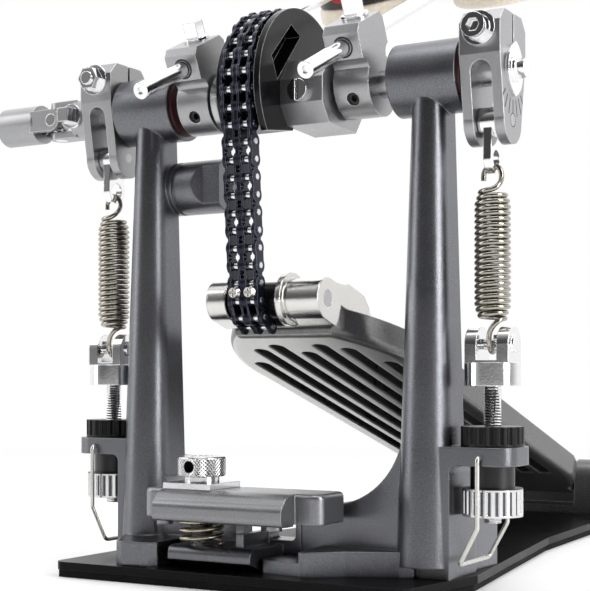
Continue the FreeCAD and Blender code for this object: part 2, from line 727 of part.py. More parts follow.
def wire_clips():
    clips = []
    hole = size("arm_top").value - 3.2
    for s in (1, -1):
        x = s * size("spring_x").value
        clear = size("arm_half").value + CLIP_BEND + 0.25
        route = [V(x, -6, hole), V(x, -clear, hole), V(x, -clear, 24.5), V(x - s * 6.5, -clear, 12),
                 V(x - s * 6.5, clear - 1, 12), V(x, clear, 24.5), V(x, clear, hole), V(x, 6, hole)]
        edges = smooth_wire(route, CLIP_BEND)
        ring = Part.Wire([Part.Circle(route[0], V(0, -1, 0), CLIP_WIRE / 2).toShape()])
        tube = Part.Wire(edges).makePipeShell([ring], True, False)
        clips.append(tube)
    made_shape("wire_clips", Part.Compound(clips))


# Main axle: shaft, cam, cam hub and the right beater hub.
def main_axle():
    body = sub_part("main_axle")
    end = size("spring_x") + size("lever_width") / 2
    pad(body, "YZ", -25.5, end, circle(0, 0, SHAFT))
    pad(body, "YZ", -38, -25, circle(0, 0, 6.4))
    pad(body, "YZ", -27.6, -24.9, circle(0, 0, 23))
    pocket(body, "YZ", end - 9, end + 1, circle(0, 0, 5))
    place(body, 0, 0, AXLE)


def sector(r, first, last, foot):
    """Half-disc outline from the first to the last angle, closed by a chord past the hub."""
    a, b = math.radians(first), math.radians(last)
    m = (a + b) / 2
    return outline((r * math.cos(a), r * math.sin(a), -r), (r * math.cos(m), r * math.sin(m), -r),
                   (r * math.cos(b), r * math.sin(b)), (foot, -15), (15, -foot + 3))


def cam():
    body = sub_part("cam")
    middle = size("chain_x")
    drum = size("pitch_radius") - size("side_height") / 2 - 0.45
    pad(body, "YZ", middle - 8, middle + 8, sector(drum, 25, 214, -8))
    pad(body, "YZ", middle + 7.9, middle + 10.5, sector(size("pitch_radius") + 2.4, 25, 214, -8))
    pad(body, "YZ", middle - 10.5, middle - 7.9, sector(drum + 2, 40, 214, -8))
    pad(body, "YZ", middle - 11, middle - 7.9, circle(0, 0, 24))
    pocket(body, "YZ", middle - 12, middle + 12, circle(0, 0, SHAFT))
    pocket(body, "YZ", middle + 4, middle + 12, outline((-19, 2), (-2, 21), (-9, 24), (-23, 10)))
    place(body, 0, 0, AXLE)
    hub = sub_part("cam_hub")
    shape = outline((-17, -7), (-12, -14), (9, -15), (16, -6), (16, 6), (8, 12), (-11, 10), (-17, 2))
    pad(hub, "YZ", middle + 10.5, middle + 28, shape)
    pocket(hub, "YZ", middle, middle + 40, circle(0, 0, SHAFT))
    pocket(hub, "XZ", -30, -8, circle(middle + 18.5, -2.5, 4))
    place(hub, 0, 0, AXLE)
    at = middle + 18.5
    head = rod("head", 8, (at, -17, AXLE - 2.5), 2.2, (0, -1, 0))
    slot = doc.addObject("Part::Box", "slot")
    bind(slot, "Length", 1.2)
    bind(slot, "Width", 1.2)
    bind(slot, "Height", 10)
    slot.Placement.Base = V(at.value - 0.6, -19.4, AXLE.value - 7.5)
    bind(slot, "Placement.Base.x", at - 0.6)
    bind(slot, "Placement.Base.z", AXLE - 7.5)
    shank = rod("shank", 4, (at, -17, AXLE - 2.5), 8.9, (0, 1, 0))
    group("cam_screw", bored("slotted", fused("screw", head, shank), slot))


def beater_hub(side, s):
    """Collar on the axle with a block that the beater rod slides through; local Y runs along the rod."""
    x = size(side + "_beater_x")
    rise = size("beater_rise")
    body = sub_part(side + "_beater_hub")
    pad(body, "YZ", -7, 7, circle(0, 0, 23))
    block = outline((-8, 0), (8, 0), (7.5, rise - 8, 4), (11, rise - 4.5), (11, rise + 5),
                    (8.5, rise + 7.5), (-8.5, rise + 7.5), (-11, rise + 5), (-11, rise - 4.5, 4),
                    (-7.5, rise - 8))
    pad(body, "YZ", -7, 7, block)
    pocket(body, "YZ", -9, 9, circle(0, 0, SHAFT))
    pocket(body, "XZ", -20, 20, circle(0, rise, size("beater_dia")))
    pocket(body, "XZ", -16, -4, circle(0, -1.5, 5))
    pocket(body, "XY", rise, rise + 12, circle(0, 3, 5))
    place(body, x, 0, AXLE, size("beater_tilt").value)
    turn = FreeCAD.Rotation(X_AXIS, size("beater_tilt").value)
    up = turn.multVec(V(0, 0, 1))
    back = turn.multVec(V(0, 1, 0))
    seat = V(x.value, 0, AXLE.value).add(up * (rise.value + size("beater_dia").value / 2)).add(back * 3)
    key = key_bolt(seat, up, 4.5, 6.0)
    grub = Part.makeCylinder(2.5, 5, V(x.value, 0, AXLE.value).add(up * -1.5).add(back * -5.2), back * -1)
    socket = Part.makeCylinder(1.2, 3, V(x.value, 0, AXLE.value).add(up * -1.5).add(back * -8.0), back * -1)
    screws = [key, grub.cut(socket)]
    if s < 0:
        screws.append(key_bolt(V(-97.0, -SHAFT.value / 2, AXLE.value), V(0, -1, 0), 3.0, 5.0))
    made_shape(side + "_clamp_screws", Part.Compound(screws))


def key_bolt(seat, way, grip, head):
    """Square-head bolt: a threaded shank from its seat, a collar and the square."""
    shank = Part.makeCylinder(2.5, grip, seat, way)
    collar = Part.makeCylinder(5.0, 1.4, seat.add(way * grip), way)
    square = Part.makeBox(5.6, 5.6, head)
    square.translate(V(-2.8, -2.8, 0))
    on = FreeCAD.Placement(seat.add(way * (grip + 1.4)), FreeCAD.Rotation(V(0, 0, 1), way))
    square.Placement = on.multiply(square.Placement)
    return shank.fuse(collar).fuse(square).removeSplitter()


def beater(side):
    """Rod, core and felt; local Y runs along the rod, local Z is the striking side."""
    x = size(side + "_beater_x")
    reach = size("beater_reach")
    rise = size("beater_rise")
    tilt = size("beater_tilt").value
    bar = sub_part(side + "_beater_rod")
    pad(bar, "XZ", -41, reach + 12, circle(0, 0, size("beater_dia")))
    pocket(bar, "XZ", -42, -40, circle(0, 0, 2.6))
    core = sub_part(side + "_beater_core")
    rim = reach - size("felt_dia") / 2
    pad(core, "XY", -10, 8, circle(0, reach, size("felt_dia") - 2))
    pad(core, "XZ", rim - 6, rim + 6, circle(0, 0, 13))
    pocket(core, "XZ", rim - 20, reach + 12, circle(0, 0, size("beater_dia")))
    round_edges(core, 2, lambda e: abs(e.BoundBox.ZMin - 8) < 0.01 and e.BoundBox.ZLength < 0.01)
    felt = sub_part(side + "_beater_felt")
    pad(felt, "XY", -10 - size("felt_thick"), -10, circle(0, reach, size("felt_dia")))
    round_edges(felt, 2.5, lambda e: e.BoundBox.ZMax < -10.1)
    up = FreeCAD.Rotation(X_AXIS, tilt).multVec(V(0, 0, 1)) * rise.value
    for piece in (bar, core, felt):
        place(piece, x, up.y, AXLE + up.z, tilt)


# Slave axle and its universal joint.
def slave_axle():
    body = sub_part("slave_axle")
    pad(body, "YZ", -98.5, -28.2, circle(0, 0, SHAFT))
    pocket(body, "YZ", -38.6, -28, circle(0, 0, 6.4 + 2 * RUN))
    place(body, 0, 0, AXLE)


def universal_joint():
    centre = size("yoke_x")
    dia = size("yoke_dia")
    pins = size("yoke_pin_dia")
    inner = sub_part("inner_yoke")
    near = centre + 10.5
    pad(inner, "YZ", near - 0.5, -size("spring_x") - size("lever_width") / 2 - 0.2, circle(0, 0, dia))
    for low, high in ((4.9, dia / 2 - 0.4), (0.4 - dia / 2, -4.9)):
        pad(inner, "XY", low, high, ear(centre, 1))
    pocket(inner, "YZ", near - 1, 0, circle(0, 0, SHAFT))
    pocket(inner, "XY", -12, 12, circle(centre, 0, pins + 2 * RUN))
    pocket(inner, "XZ", -12, -2, circle(-97.0, 0, 5))
    place(inner, 0, 0, AXLE)
    cross = sub_part("joint_cross")
    pad(cross, "XY", -3.6, 3.6, rectangle(-3.6, 3.6, -3.6, 3.6))
    pad(cross, "XY", 0.4 - dia / 2, dia / 2 - 0.4, circle(0, 0, pins))
    pad(cross, "XZ", 0.4 - dia / 2, dia / 2 - 0.4, circle(0, 0, pins))
    place(cross, centre, 0, AXLE)
    outer = sub_part("outer_yoke")
    far = centre - 10.5
    pad(outer, "YZ", far - size("drive_depth"), far + 0.5, circle(0, 0, dia))
    for low, high in ((4.9, dia / 2 - 0.4), (0.4 - dia / 2, -4.9)):
        pad(outer, "XZ", low, high, ear(centre, -1))
    pocket(outer, "YZ", far - size("drive_depth") - 1, far + 1, circle(0, 0, size("drive_bore")))
    pocket(outer, "XZ", -12, 12, circle(centre, 0, pins + 2 * RUN))
    place(outer, 0, 0, AXLE)


def ear(centre, way):
    """Fork ear with a round tip about the cross centre, running toward its hub."""
    half = 4.4
    return outline((centre, -half * way), (centre + 11 * way, -half * way), (centre + 11 * way, half * way),
                   (centre, half * way, -half))


# Footboard: ribbed board from the toe pin to the heel hinge; local Y runs down the board.
def board_frame():
    fall = size("toe_z") - size("heel_z")
    run = size("heel_y") - size("toe_y")
    return hypotenuse(fall, run), -math.degrees(math.atan2(fall.value, run.value))


def footboard():
    length, tilt = board_frame()
    half = size("board_half")
    tongue = tongue_half()
    body = sub_part("footboard")
    plan = outline((21, 11, -70), (half, 66), (half, length - 40), (half - 3, length - 26),
                   (tongue, length - 14), (tongue, length - 3), (-tongue, length - 3),
                   (-tongue, length - 14), (3 - half, length - 26), (-half, length - 40),
                   (-half, 66, -70), (-21, 11))
    pad(body, "XY", -10, 1, plan)
    round_edges(body, 3.5, lambda e: e.BoundBox.ZMax < -9.99 and e.BoundBox.YMin < length.value - 30)
    starts = {0: 34, 1: 25, 2: 30, 3: 47}
    apart = (tongue - 0.2) / 3
    rib = 3
    slots = [slot(apart * k, (apart - rib) / 2, starts[abs(k)], length - 46) for k in range(-3, 4)]
    pocket(body, "XY", -12, 1 - size("board_thick"), *slots)
    pad(body, "YZ", -tongue, tongue, circle(length, 0, 13))
    pocket(body, "YZ", -40, 40, circle(length, 0, size("heel_pin_dia") + 2 * RUN))
    grips = [rectangle(10 - half, half - 10, 90 + 14 * k, 93 + 14 * k) for k in range(7)]
    pad(body, "XY", 0.5, 1.8, *grips)
    place(body, 0, size("toe_y"), size("toe_z"), tilt)
    clevis = sub_part("toe_clevis")
    sides = outline((0, -7.6), (9, -7.6), (10.4, -5), (10.4, 1.02), (78, 1.02), (78, 2.2), (54, 3, 45),
                    (27, 10.5), (14, 10.5, 30), (0, 7.6, -7.6), (-7.6, 0, -7.6))
    pad(clevis, "YZ", -23.5, 24, sides)
    pad(clevis, "YZ", 7.4, 9.6, circle(0, 0, 19.6))
    left, right = size("chain_x") - 11.3, size("chain_x") + 11.3
    pocket(clevis, "XZ", -30, 8.8, rectangle(left, right, -30, 30))
    tapers = [outline((12, 80), (24.5, 30), (24.5, 80)), outline((-12, 80), (-24.5, 80), (-24.5, 30))]
    pocket(clevis, "XY", -1, 30, *tapers)
    pocket(clevis, "YZ", -40, 40, circle(0, 0, size("toe_pin_dia")))
    pocket(clevis, "XY", 4, 30, circle(16, 2, 4.2))
    place(clevis, 0, size("toe_y"), size("toe_z"), tilt)
    pin = rod("pin", size("toe_pin_dia"), (-23.5, size("toe_y"), size("toe_z")), 47.5, (1, 0, 0))
    group("toe_pin", pin)


def tongue_half():
    """Half width of the hinge tongue at the heel, inside the board's full width."""
    return size("board_half") - 11


def slot(x, half, front, rear):
    """Groove between two ribs, round at its front end."""
    return outline((x + half, front), (x + half, rear), (x - half, rear), (x - half, front, -half))


def heel():
    body = sub_part("heel_plate")
    y, z = size("heel_y"), size("heel_z")
    sides = outline((y - 8.5, FLOOR), (y + 42, FLOOR), (y + 42, FLOOR + 7), (y + 39, FLOOR + 9),
                    (y + 8.5, z + 1), (y + 8.5, z, -8.5), (y - 8.5, z))
    seat = tongue_half() + 1
    wide = size("board_half") + 5
    pad(body, "YZ", -wide, wide, sides)
    pocket(body, "XY", FLOOR + 4, z + 30, rectangle(-seat, seat, y - 20, y + 9.5))
    pocket(body, "YZ", -50, 50, circle(y, z, size("heel_pin_dia")))
    pocket(body, "XY", 0, FLOOR + 7.2, *[circle(bx, by, size("screw_dia")) for bx, by in BOLTS if by > 100])
    grips = [rectangle(x - 2, x + 2, y + 14, y + 34) for x in (-24, -12, 0, 12, 24)]
    pocket(body, "XY", FLOOR + 8.2, z + 10, *grips)
    group("heel_pin", rod("pin", size("heel_pin_dia"), (-wide, y, z), 2 * wide, (1, 0, 0)))


# Roller chain: two strands, laid pin by pin over the cam, down the free stretch and round the toe block.
def chain_route():
    """Pin centres in the YZ plane from the cam anchor to the toe end, the index of the pin
    where the chain leaves the cam, and the direction of the free stretch."""
    big, small = size("pitch_radius").value, size("toe_radius").value
    dy = size("toe_y").value
    dz = AXLE.value - size("toe_z").value
    apart = math.hypot(dy, dz)
    lean = math.asin((big - small) / apart) - math.atan2(-dy, dz)
    down = (math.sin(lean), -math.cos(lean))
    front = (-math.cos(lean), -math.sin(lean))
    tangent = (big * front[0], AXLE.value + big * front[1])
    straight = math.sqrt(apart ** 2 - (big - small) ** 2)
    step = 2 * math.asin(PITCH / 2 / big)
    leave = math.pi + lean
    pins = []
    for i in range(12, 0, -1):
        pins.append((big * math.cos(leave - i * step), AXLE.value + big * math.sin(leave - i * step)))
    whole = int(straight / PITCH + 1e-6)
    for k in range(whole + 1):
        pins.append((tangent[0] + k * PITCH * down[0], tangent[1] + k * PITCH * down[1]))
    centre = (size("toe_y").value, size("toe_z").value)
    last = pins[-1]
    reach = math.hypot(last[0] - centre[0], last[1] - centre[1])
    here = math.atan2(last[1] - centre[1], last[0] - centre[0]) % (2 * math.pi)
    here += math.acos((reach ** 2 + small ** 2 - PITCH ** 2) / (2 * reach * small))
    turn = 2 * math.asin(PITCH / 2 / small)
    for k in range(2):
        a = here + k * turn
        pins.append((centre[0] + small * math.cos(a), centre[1] + small * math.sin(a)))
    return pins, 12, down


def side_plate(x, thick):
    """Plate between two pins on local Y: round ends, with flat flanks a little inside them."""
    r = size("side_height").value / 2
    w = r * 0.86
    c = math.sqrt(r * r - w * w)
    edges = [
        Part.Arc(V(x, c, -w), V(x, -r, 0), V(x, c, w)).toShape(),
        Part.makeLine(V(x, c, w), V(x, PITCH - c, w)),
        Part.Arc(V(x, PITCH - c, w), V(x, PITCH + r, 0), V(x, PITCH - c, -w)).toShape(),
        Part.makeLine(V(x, PITCH - c, -w), V(x, c, -w))]
    return Part.Face(Part.Wire(edges)).extrude(V(thick, 0, 0))


def chain_links():
    """The two kinds of link as solids: pinned outer links and bushed inner links."""
    strand = size("strand_pitch").value / 2
    thick = size("side_plate").value
    inside = 1.55
    pin_r = 1.15
    inner = []
    for middle in (-strand, strand):
        solid = side_plate(middle - inside - thick, thick).fuse(side_plate(middle + inside, thick))
        for y in (0, PITCH):
            start = V(middle - inside, y, 0)
            solid = solid.fuse(Part.makeCylinder(size("roller_dia").value / 2, 2 * inside, start, X_AXIS))
        for y in (0, PITCH):
            solid = solid.cut(Part.makeCylinder(pin_r + RUN.value, 20, V(-10, y, 0), X_AXIS))
        inner.append(solid.removeSplitter())
    side = strand + inside + thick + 0.06
    gap = strand - inside - thick - 0.08
    outer = side_plate(-side - thick, thick).fuse(side_plate(side, thick)).fuse(side_plate(-gap, 2 * gap))
    for y in (0, PITCH):
        half = side + thick + 0.35
        outer = outer.fuse(Part.makeCylinder(pin_r, 2 * half, V(-half, y, 0), X_AXIS))
    return inner, [outer.removeSplitter()]


def laid(link, a, b):
    """A link's solids with its pins at a and b."""
    lean = math.degrees(math.atan2(b[1] - a[1], b[0] - a[0]))
    spot = FreeCAD.Placement(V(size("chain_x").value, a[0], a[1]), FreeCAD.Rotation(X_AXIS, lean))
    result = []
    for solid in link:
        copy = solid.copy()
        copy.Placement = spot
        result.append(copy)
    return result


def chain():
    pins, tangent, down = chain_route()
    kinds = chain_links()
    rows = [laid(kinds[i % 2], pins[i], pins[i + 1]) for i in range(len(pins) - 1)]
    sections = [("chain_on_cam", rows[:tangent - 4]), ("chain_link_first", rows[tangent - 4:tangent - 3]),
                ("chain_link_second", rows[tangent - 3:tangent - 2]),
                ("chain_link_third", rows[tangent - 2:tangent - 1]),
                ("chain_link_fourth", rows[tangent - 1:tangent]), ("chain_hanging", rows[tangent:])]
    for label, part in sections:
        made_shape(label, Part.Compound([solid for row in part for solid in row]))
    mid = size("chain_x")
    block = sub_part("chain_block")
    sides = outline((4, -6.2), (7.6, -3.5), (7.6, 3.5), (4, 6.2), (0, 6.6, -6.6), (0, -6.6))
    pad(block, "YZ", mid - 10.8, mid + 10.8, sides)
    bore = size("toe_pin_dia") / 2 + 0.55
    slack = size("toe_play")
    long_hole = outline((0, -bore), (slack, -bore, -bore), (slack, bore), (0, bore, -bore))
    pocket(block, "YZ", mid - 20, mid + 20, long_hole)
    place(block, 0, size("toe_y"), size("toe_z"))
    # screws between two pins of the last straight link, square to the chain
    upper, lower = pins[-4], pins[-3]
    at = V(0, (upper[0] + lower[0]) / 2, (upper[1] + lower[1]) / 2)
    inward = V(0, -down[1], down[0])
    screws = []
    for x in (-1, 1):
        spot = at.add(V(mid.value + x * size("strand_pitch").value / 2, 0, 0))
        lip = size("side_height").value / 2 + 0.02
        head = Part.makeCone(2.5, 1.7, 1.5, spot.sub(inward * lip), inward * -1)
        shank = Part.makeCylinder(1.25, lip + 3.6, spot.sub(inward * lip), inward)
        screw = head.fuse(shank)
        for way in (V(1, 0, 0), V(0, 0, 1)):
            bar = Part.makeBox(3.0, 0.7, 1.0, V(-1.5, -0.35, 0))
            turn = FreeCAD.Rotation(way, inward.cross(way), inward, "XZY")
            on = FreeCAD.Placement(spot.sub(inward * (lip + 1.6)), turn)
            bar.Placement = on.multiply(bar.Placement)
            screw = screw.cut(bar)
        screws.append(screw)
    made_shape("chain_screws", Part.Compound(screws))


base()
post("left_post", -1)
post("right_post", 1)
bearings()
hoop_clamp()
for side, s in (("left", -1), ("right", 1)):
    lever(side, s)
    link(side, s)
    tension(side, s)
    tension_spring(side + "_spring", s)
    beater_hub(side, s)
    beater(side)
index_plate()
wire_clips()
main_axle()
cam()
slave_axle()
universal_joint()
footboard()
heel()
chain()
doc.recompute()

faults = [o.getParentGeoFeatureGroup().Label + "/" + o.Label if o.getParentGeoFeatureGroup() else o.Label
          for o in doc.Objects if "Invalid" in o.State or "Error" in o.State]
if faults:
    raise RuntimeError("objects in error: " + ", ".join(faults))
os.makedirs("parts", exist_ok=True)
for piece in PARTS:
    if piece.Shape.isNull() or not piece.Shape.isValid():
        raise RuntimeError("bad shape: " + piece.Label)
    piece.Shape.exportStep("parts/%s.step" % piece.Label)
print(len(PARTS), "nodes")
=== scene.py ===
import bpy
import json
import math
import numpy as np
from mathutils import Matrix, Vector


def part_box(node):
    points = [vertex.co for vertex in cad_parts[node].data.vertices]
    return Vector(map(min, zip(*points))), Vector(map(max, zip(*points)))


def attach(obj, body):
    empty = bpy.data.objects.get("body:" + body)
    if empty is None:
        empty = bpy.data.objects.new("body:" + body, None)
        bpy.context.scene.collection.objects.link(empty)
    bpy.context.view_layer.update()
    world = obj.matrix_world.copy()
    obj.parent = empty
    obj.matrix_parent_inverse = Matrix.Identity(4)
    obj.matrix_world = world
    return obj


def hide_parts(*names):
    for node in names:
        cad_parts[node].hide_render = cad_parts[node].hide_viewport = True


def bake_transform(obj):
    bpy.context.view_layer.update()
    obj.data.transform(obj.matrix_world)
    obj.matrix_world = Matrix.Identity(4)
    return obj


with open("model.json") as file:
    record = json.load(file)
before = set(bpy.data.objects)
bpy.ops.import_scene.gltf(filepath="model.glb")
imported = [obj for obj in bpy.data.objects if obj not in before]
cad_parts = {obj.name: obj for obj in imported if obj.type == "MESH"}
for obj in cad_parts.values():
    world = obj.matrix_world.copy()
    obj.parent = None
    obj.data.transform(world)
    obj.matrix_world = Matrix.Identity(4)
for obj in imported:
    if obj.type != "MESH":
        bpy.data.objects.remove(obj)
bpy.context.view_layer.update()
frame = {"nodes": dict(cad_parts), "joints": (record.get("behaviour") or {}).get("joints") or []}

# Base. A laser-cut steel sheet with a black powder coat lies on a rubber sheet that grips the floor.
# Bolts come up through both into the castings, their heads sunk in the rubber.
MM = 0.001
GRAIN_DEPTH = 0.5 * MM
LOW_SHINE, MATT = {"Specular IOR Level": 0.22}, {"Specular IOR Level": 0.08}
BLACK = (0.004, 0.004, 0.0045)


def shade(tree, kind, inputs=(), **settings):
    """One shader node: settings by name, inputs by socket, linked where the value is a socket."""
    made = tree.nodes.new(kind)
    for key, value in settings.items():
        setattr(made, key, value)
    for key, value in dict(inputs).items():
        if isinstance(value, bpy.types.NodeSocket):
            tree.links.new(value, made.inputs[key])
        else:
            made.inputs[key].default_value = value
    return made


def calc(tree, operation, a, b=0.0, c=0.0, clamp=False):
    """Value of a Math node."""
    made = shade(tree, "ShaderNodeMath", {0: a, 1: b, 2: c}, operation=operation, use_clamp=clamp)
    return made.outputs[0]


def product(tree, first, *others):
    """All the masks multiplied."""
    for other in others:
        first = calc(tree, "MULTIPLY", first, other)
    return first


def spread(tree, value, start, end, low=0.0, high=1.0, curve="LINEAR"):
    """Value taken from the range start to end into the range low to high, and held at its ends."""
    ends = {"From Min": start, "From Max": end, "To Min": low, "To Max": high}
    made = shade(tree, "ShaderNodeMapRange", {"Value": value, **ends}, interpolation_type=curve)
    return made.outputs["Result"]


def vector(tree, operation, a, b=(0.0, 0.0, 0.0)):
    """Result of a Vector Math node: a value for a length or a dot product, and else a vector."""
    made = shade(tree, "ShaderNodeVectorMath", {0: a, 1: b}, operation=operation)
    return made.outputs["Value" if operation in ("LENGTH", "DOT_PRODUCT") else "Vector"]


def place_of(tree):
    """Place of the shaded point in the shared frame, which rides with its piece."""
    return shade(tree, "ShaderNodeTexCoord").outputs["Object"]


def noise(tree, scale, detail):
    """Noise in the piece's own space."""
    made = shade(tree, "ShaderNodeTexNoise", {"Vector": place_of(tree), "Scale": scale, "Detail": detail})
    return made.outputs["Fac"]


def blended(tree, mask, first, second):
    """Colour or value that goes from first to second with the mask."""
    if isinstance(second, tuple):
        return shade(tree, "ShaderNodeMix", {0: mask, 6: first, 7: second}, data_type="RGBA").outputs[2]
    return shade(tree, "ShaderNodeMix", {0: mask, 2: first, 3: second}, data_type="FLOAT").outputs[0]


def shader_group(name, inputs, outputs):
    """Empty shader node group with named sockets: its tree, what it is given, and its output node."""
    tree = bpy.data.node_groups.new(name, "ShaderNodeTree")
    for label, value in inputs.items():
        kind = "NodeSocketColor" if isinstance(value, tuple) else "NodeSocketFloat"
        tree.interface.new_socket(label, in_out="INPUT", socket_type=kind).default_value = value
    for label, kind in outputs.items():
        tree.interface.new_socket(label, in_out="OUTPUT", socket_type="NodeSocket" + kind)
    return tree, tree.nodes.new("NodeGroupInput").outputs, tree.nodes.new("NodeGroupOutput")


def surface_grain_group():
    """A fine grain and a slow drift, both noise in object space. They move the colour between coat and
    worn and the roughness between its two ends, and the grain is also the height."""
    tree, given, out = shader_group(
        "surface grain",
        {"Coat": (0.1, 0.1, 0.1, 1), "Worn": (0.2, 0.2, 0.2, 1), "Grain Scale": 2500.0,
         "Drift Scale": 35.0, "Grain Amount": 0.5, "Rough Low": 0.3, "Rough High": 0.5},
        {"Color": "Color", "Roughness": "Float", "Height": "Float"})
    speck_start, speck_full = 0.42, 0.72
    drift_share, drift_start = 0.35, 0.15
    rough_start, rough_full = 0.3, 0.7
    fine = noise(tree, given["Grain Scale"], detail=2.0)
    slow = noise(tree, given["Drift Scale"], detail=4.0)
    grain = product(tree, spread(tree, fine, speck_start, speck_full), given["Grain Amount"])
    mixed = calc(tree, "MULTIPLY_ADD", slow, drift_share, grain)
    share = calc(tree, "SUBTRACT", mixed, drift_start, clamp=True)
    tint = shade(tree, "ShaderNodeMix", {0: share, 6: given["Coat"], 7: given["Worn"]}, data_type="RGBA")
    rough = spread(tree, slow, rough_start, rough_full, given["Rough Low"], given["Rough High"])
    tree.links.new(tint.outputs[2], out.inputs["Color"])
    tree.links.new(rough, out.inputs["Roughness"])
    tree.links.new(fine, out.inputs["Height"])
    return tree


def edge_wear_group():
    """Where a rounded normal leaves the true one: 0 on a face, rising to 1 along a sharp edge, and
    broken up by noise as rubbed paint is."""
    tree, given, out = shader_group(
        "edge wear", {"Radius": 0.6 * MM, "Start": 0.03, "Full": 0.22}, {"Mask": "Float"})
    rub_scale, rub_start, rub_full, least_rub = 260.0, 0.3, 0.6, 0.45
    soft = shade(tree, "ShaderNodeBevel", {"Radius": given["Radius"]}, samples=6).outputs["Normal"]
    true = shade(tree, "ShaderNodeNewGeometry").outputs["True Normal"]
    turned = calc(tree, "SUBTRACT", 1.0, vector(tree, "DOT_PRODUCT", soft, true))
    line = spread(tree, turned, given["Start"], given["Full"])
    patchy = spread(tree, noise(tree, rub_scale, detail=3.0), rub_start, rub_full, least_rub)
    tree.links.new(calc(tree, "MULTIPLY", line, patchy, clamp=True), out.inputs["Mask"])
    return tree


surface_grain = surface_grain_group()
edge_wear = edge_wear_group()


def grey(value):
    """Neutral colour of one brightness."""
    return value, value, value


def finish(name, coat, worn, metallic, rough, grain=0.5, scale=2500.0, drift=35.0, bump=0.02,
           bevel=0.4 * MM, rubbed=None, zones=(), relief=None, **values):
    """Material of one finish. Grain gives colour, roughness and bump; rubbed is the colour of worn edges;
    a zone is (mask, colour, metallic, roughness); relief is (height, depth in metres)."""
    mat = bpy.data.materials.new(name)
    mat.use_nodes = True
    tree = mat.node_tree
    tree.nodes.clear()
    base = shade(tree, "ShaderNodeGroup",
                 {"Coat": (*coat, 1), "Worn": (*worn, 1), "Grain Scale": scale, "Drift Scale": drift,
                  "Grain Amount": grain, "Rough Low": rough[0], "Rough High": rough[1]},
                 node_tree=surface_grain)
    colour, roughness, metal = base.outputs["Color"], base.outputs["Roughness"], metallic
    for mask_of, zone_colour, zone_metal, zone_rough in zones:
        mask = mask_of(tree)
        colour = blended(tree, mask, colour, (*zone_colour, 1))
        roughness = blended(tree, mask, roughness, zone_rough)
        metal = blended(tree, mask, metal, zone_metal)
    if rubbed:
        edge = shade(tree, "ShaderNodeGroup", node_tree=edge_wear)
        colour = blended(tree, edge.outputs["Mask"], colour, (*rubbed, 1))
    normal = shade(tree, "ShaderNodeBump", {"Strength": bump, "Distance": GRAIN_DEPTH,
                                            "Height": base.outputs["Height"]})
    if bevel:
        soft = shade(tree, "ShaderNodeBevel", {"Radius": bevel}, samples=4)
        tree.links.new(soft.outputs["Normal"], normal.inputs["Normal"])
    if relief:
        height, depth = relief
        normal = shade(tree, "ShaderNodeBump", {"Strength": 1.0, "Distance": depth, "Height": height(tree),
                                                "Normal": normal.outputs["Normal"]})
    shader = shade(tree, "ShaderNodeBsdfPrincipled",
                   {"Base Color": colour, "Roughness": roughness, "Metallic": metal,
                    "Normal": normal.outputs["Normal"], **values})
    shade(tree, "ShaderNodeOutputMaterial", {"Surface": shader.outputs["BSDF"]})
    return mat


def dress(mat, *names):
    """Put one material on CAD nodes."""
    for name in names:
        mesh = frame["nodes"][name].data
        mesh.materials.clear()
        mesh.materials.append(mat)


dress(finish("black powder coat", BLACK, (0.012, 0.012, 0.013), 0.0, (0.26, 0.38),
             scale=1800, drift=30, bump=0.04, rubbed=grey(0.03), **MATT), "base_plate")
dress(finish("rubber sheet", grey(0.004), grey(0.010), 0.0, (0.72, 0.9),
             grain=0.6, scale=900, drift=40, bump=0.3, **LOW_SHINE), "base_rubber")

# Castings. The two posts and the front bridge are die cast and painted satin graphite, with a fine
# metal fleck in the paint and a slight orange peel.
dress(finish("graphite cast paint", (0.128, 0.130, 0.143), (0.275, 0.278, 0.296), 0.92, (0.24, 0.36),
             grain=0.55, scale=3000, drift=28, bump=0.09, bevel=0.9 * MM, rubbed=grey(0.24)),
      "left_post", "right_post", "front_bridge")

# Axle bearings. Steel races with dark red seals, pressed into both ends of each boss. A thin flange on
# each stays outside, against the boss's face.
dress(finish("dark red seal", (0.055, 0.012, 0.012), (0.11, 0.035, 0.032), 0.2, (0.28, 0.42),
             grain=0.4, scale=2000, drift=60, bump=0.03), "axle_bearings")

# Bolts, pins, axles and clips. Turned steel, zinc plated, with faint turning marks; the clips are bent
# from a paler drawn wire and hook into the posts' arms.
dress(finish("plated steel", (0.46, 0.46, 0.47), grey(0.33), 1.0, (0.20, 0.36),
             grain=0.4, scale=2200, drift=50, bump=0.03),
      "main_axle", "slave_axle", "heel_pin", "toe_pin", "left_lever_pin", "right_lever_pin", "frame_bolts")
dress(finish("pale clip wire", (0.62, 0.61, 0.57), (0.46, 0.45, 0.42), 0.9, (0.22, 0.34),
             grain=0.4, scale=1500, drift=80, bump=0.0, bevel=0), "wire_clips")

# Hoop clamp. A satin jaw slides on a stud, pushed up by a brassed spring and pulled down by a plated
# nut with a diamond knurl above a square flange.
STUD_X, STUD_Y = -21.0 * MM, -27.0 * MM
STUD_PITCH, STUD_RADIUS, STUD_DEPTH = 1.25 * MM, 4.1 * MM, 0.5 * MM
GRIP_RADIUS, GRIP_HEIGHT, GRIP_EDGE = 8.6 * MM, 7.0 * MM, 0.8 * MM
KNURLS, KNURL_RISE, KNURL_DEPTH = 40, 1.38 * MM, 0.5 * MM
KEY_HOLE, KEY_DEPTH = 2.3 * MM, 3.6 * MM
CLAMP_WIRE, CLAMP_COIL, CLAMP_TURNS, CLAMP_STEPS = 1.6 * MM, 7.6 * MM, 3, 48
CHROME = (0.86, 0.86, 0.87)
knob_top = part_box("clamp_knob")[1].z


def coordinates(tree):
    """X, Y and Z of the surface in the shared frame."""
    return shade(tree, "ShaderNodeSeparateXYZ", {"Vector": place_of(tree)}).outputs


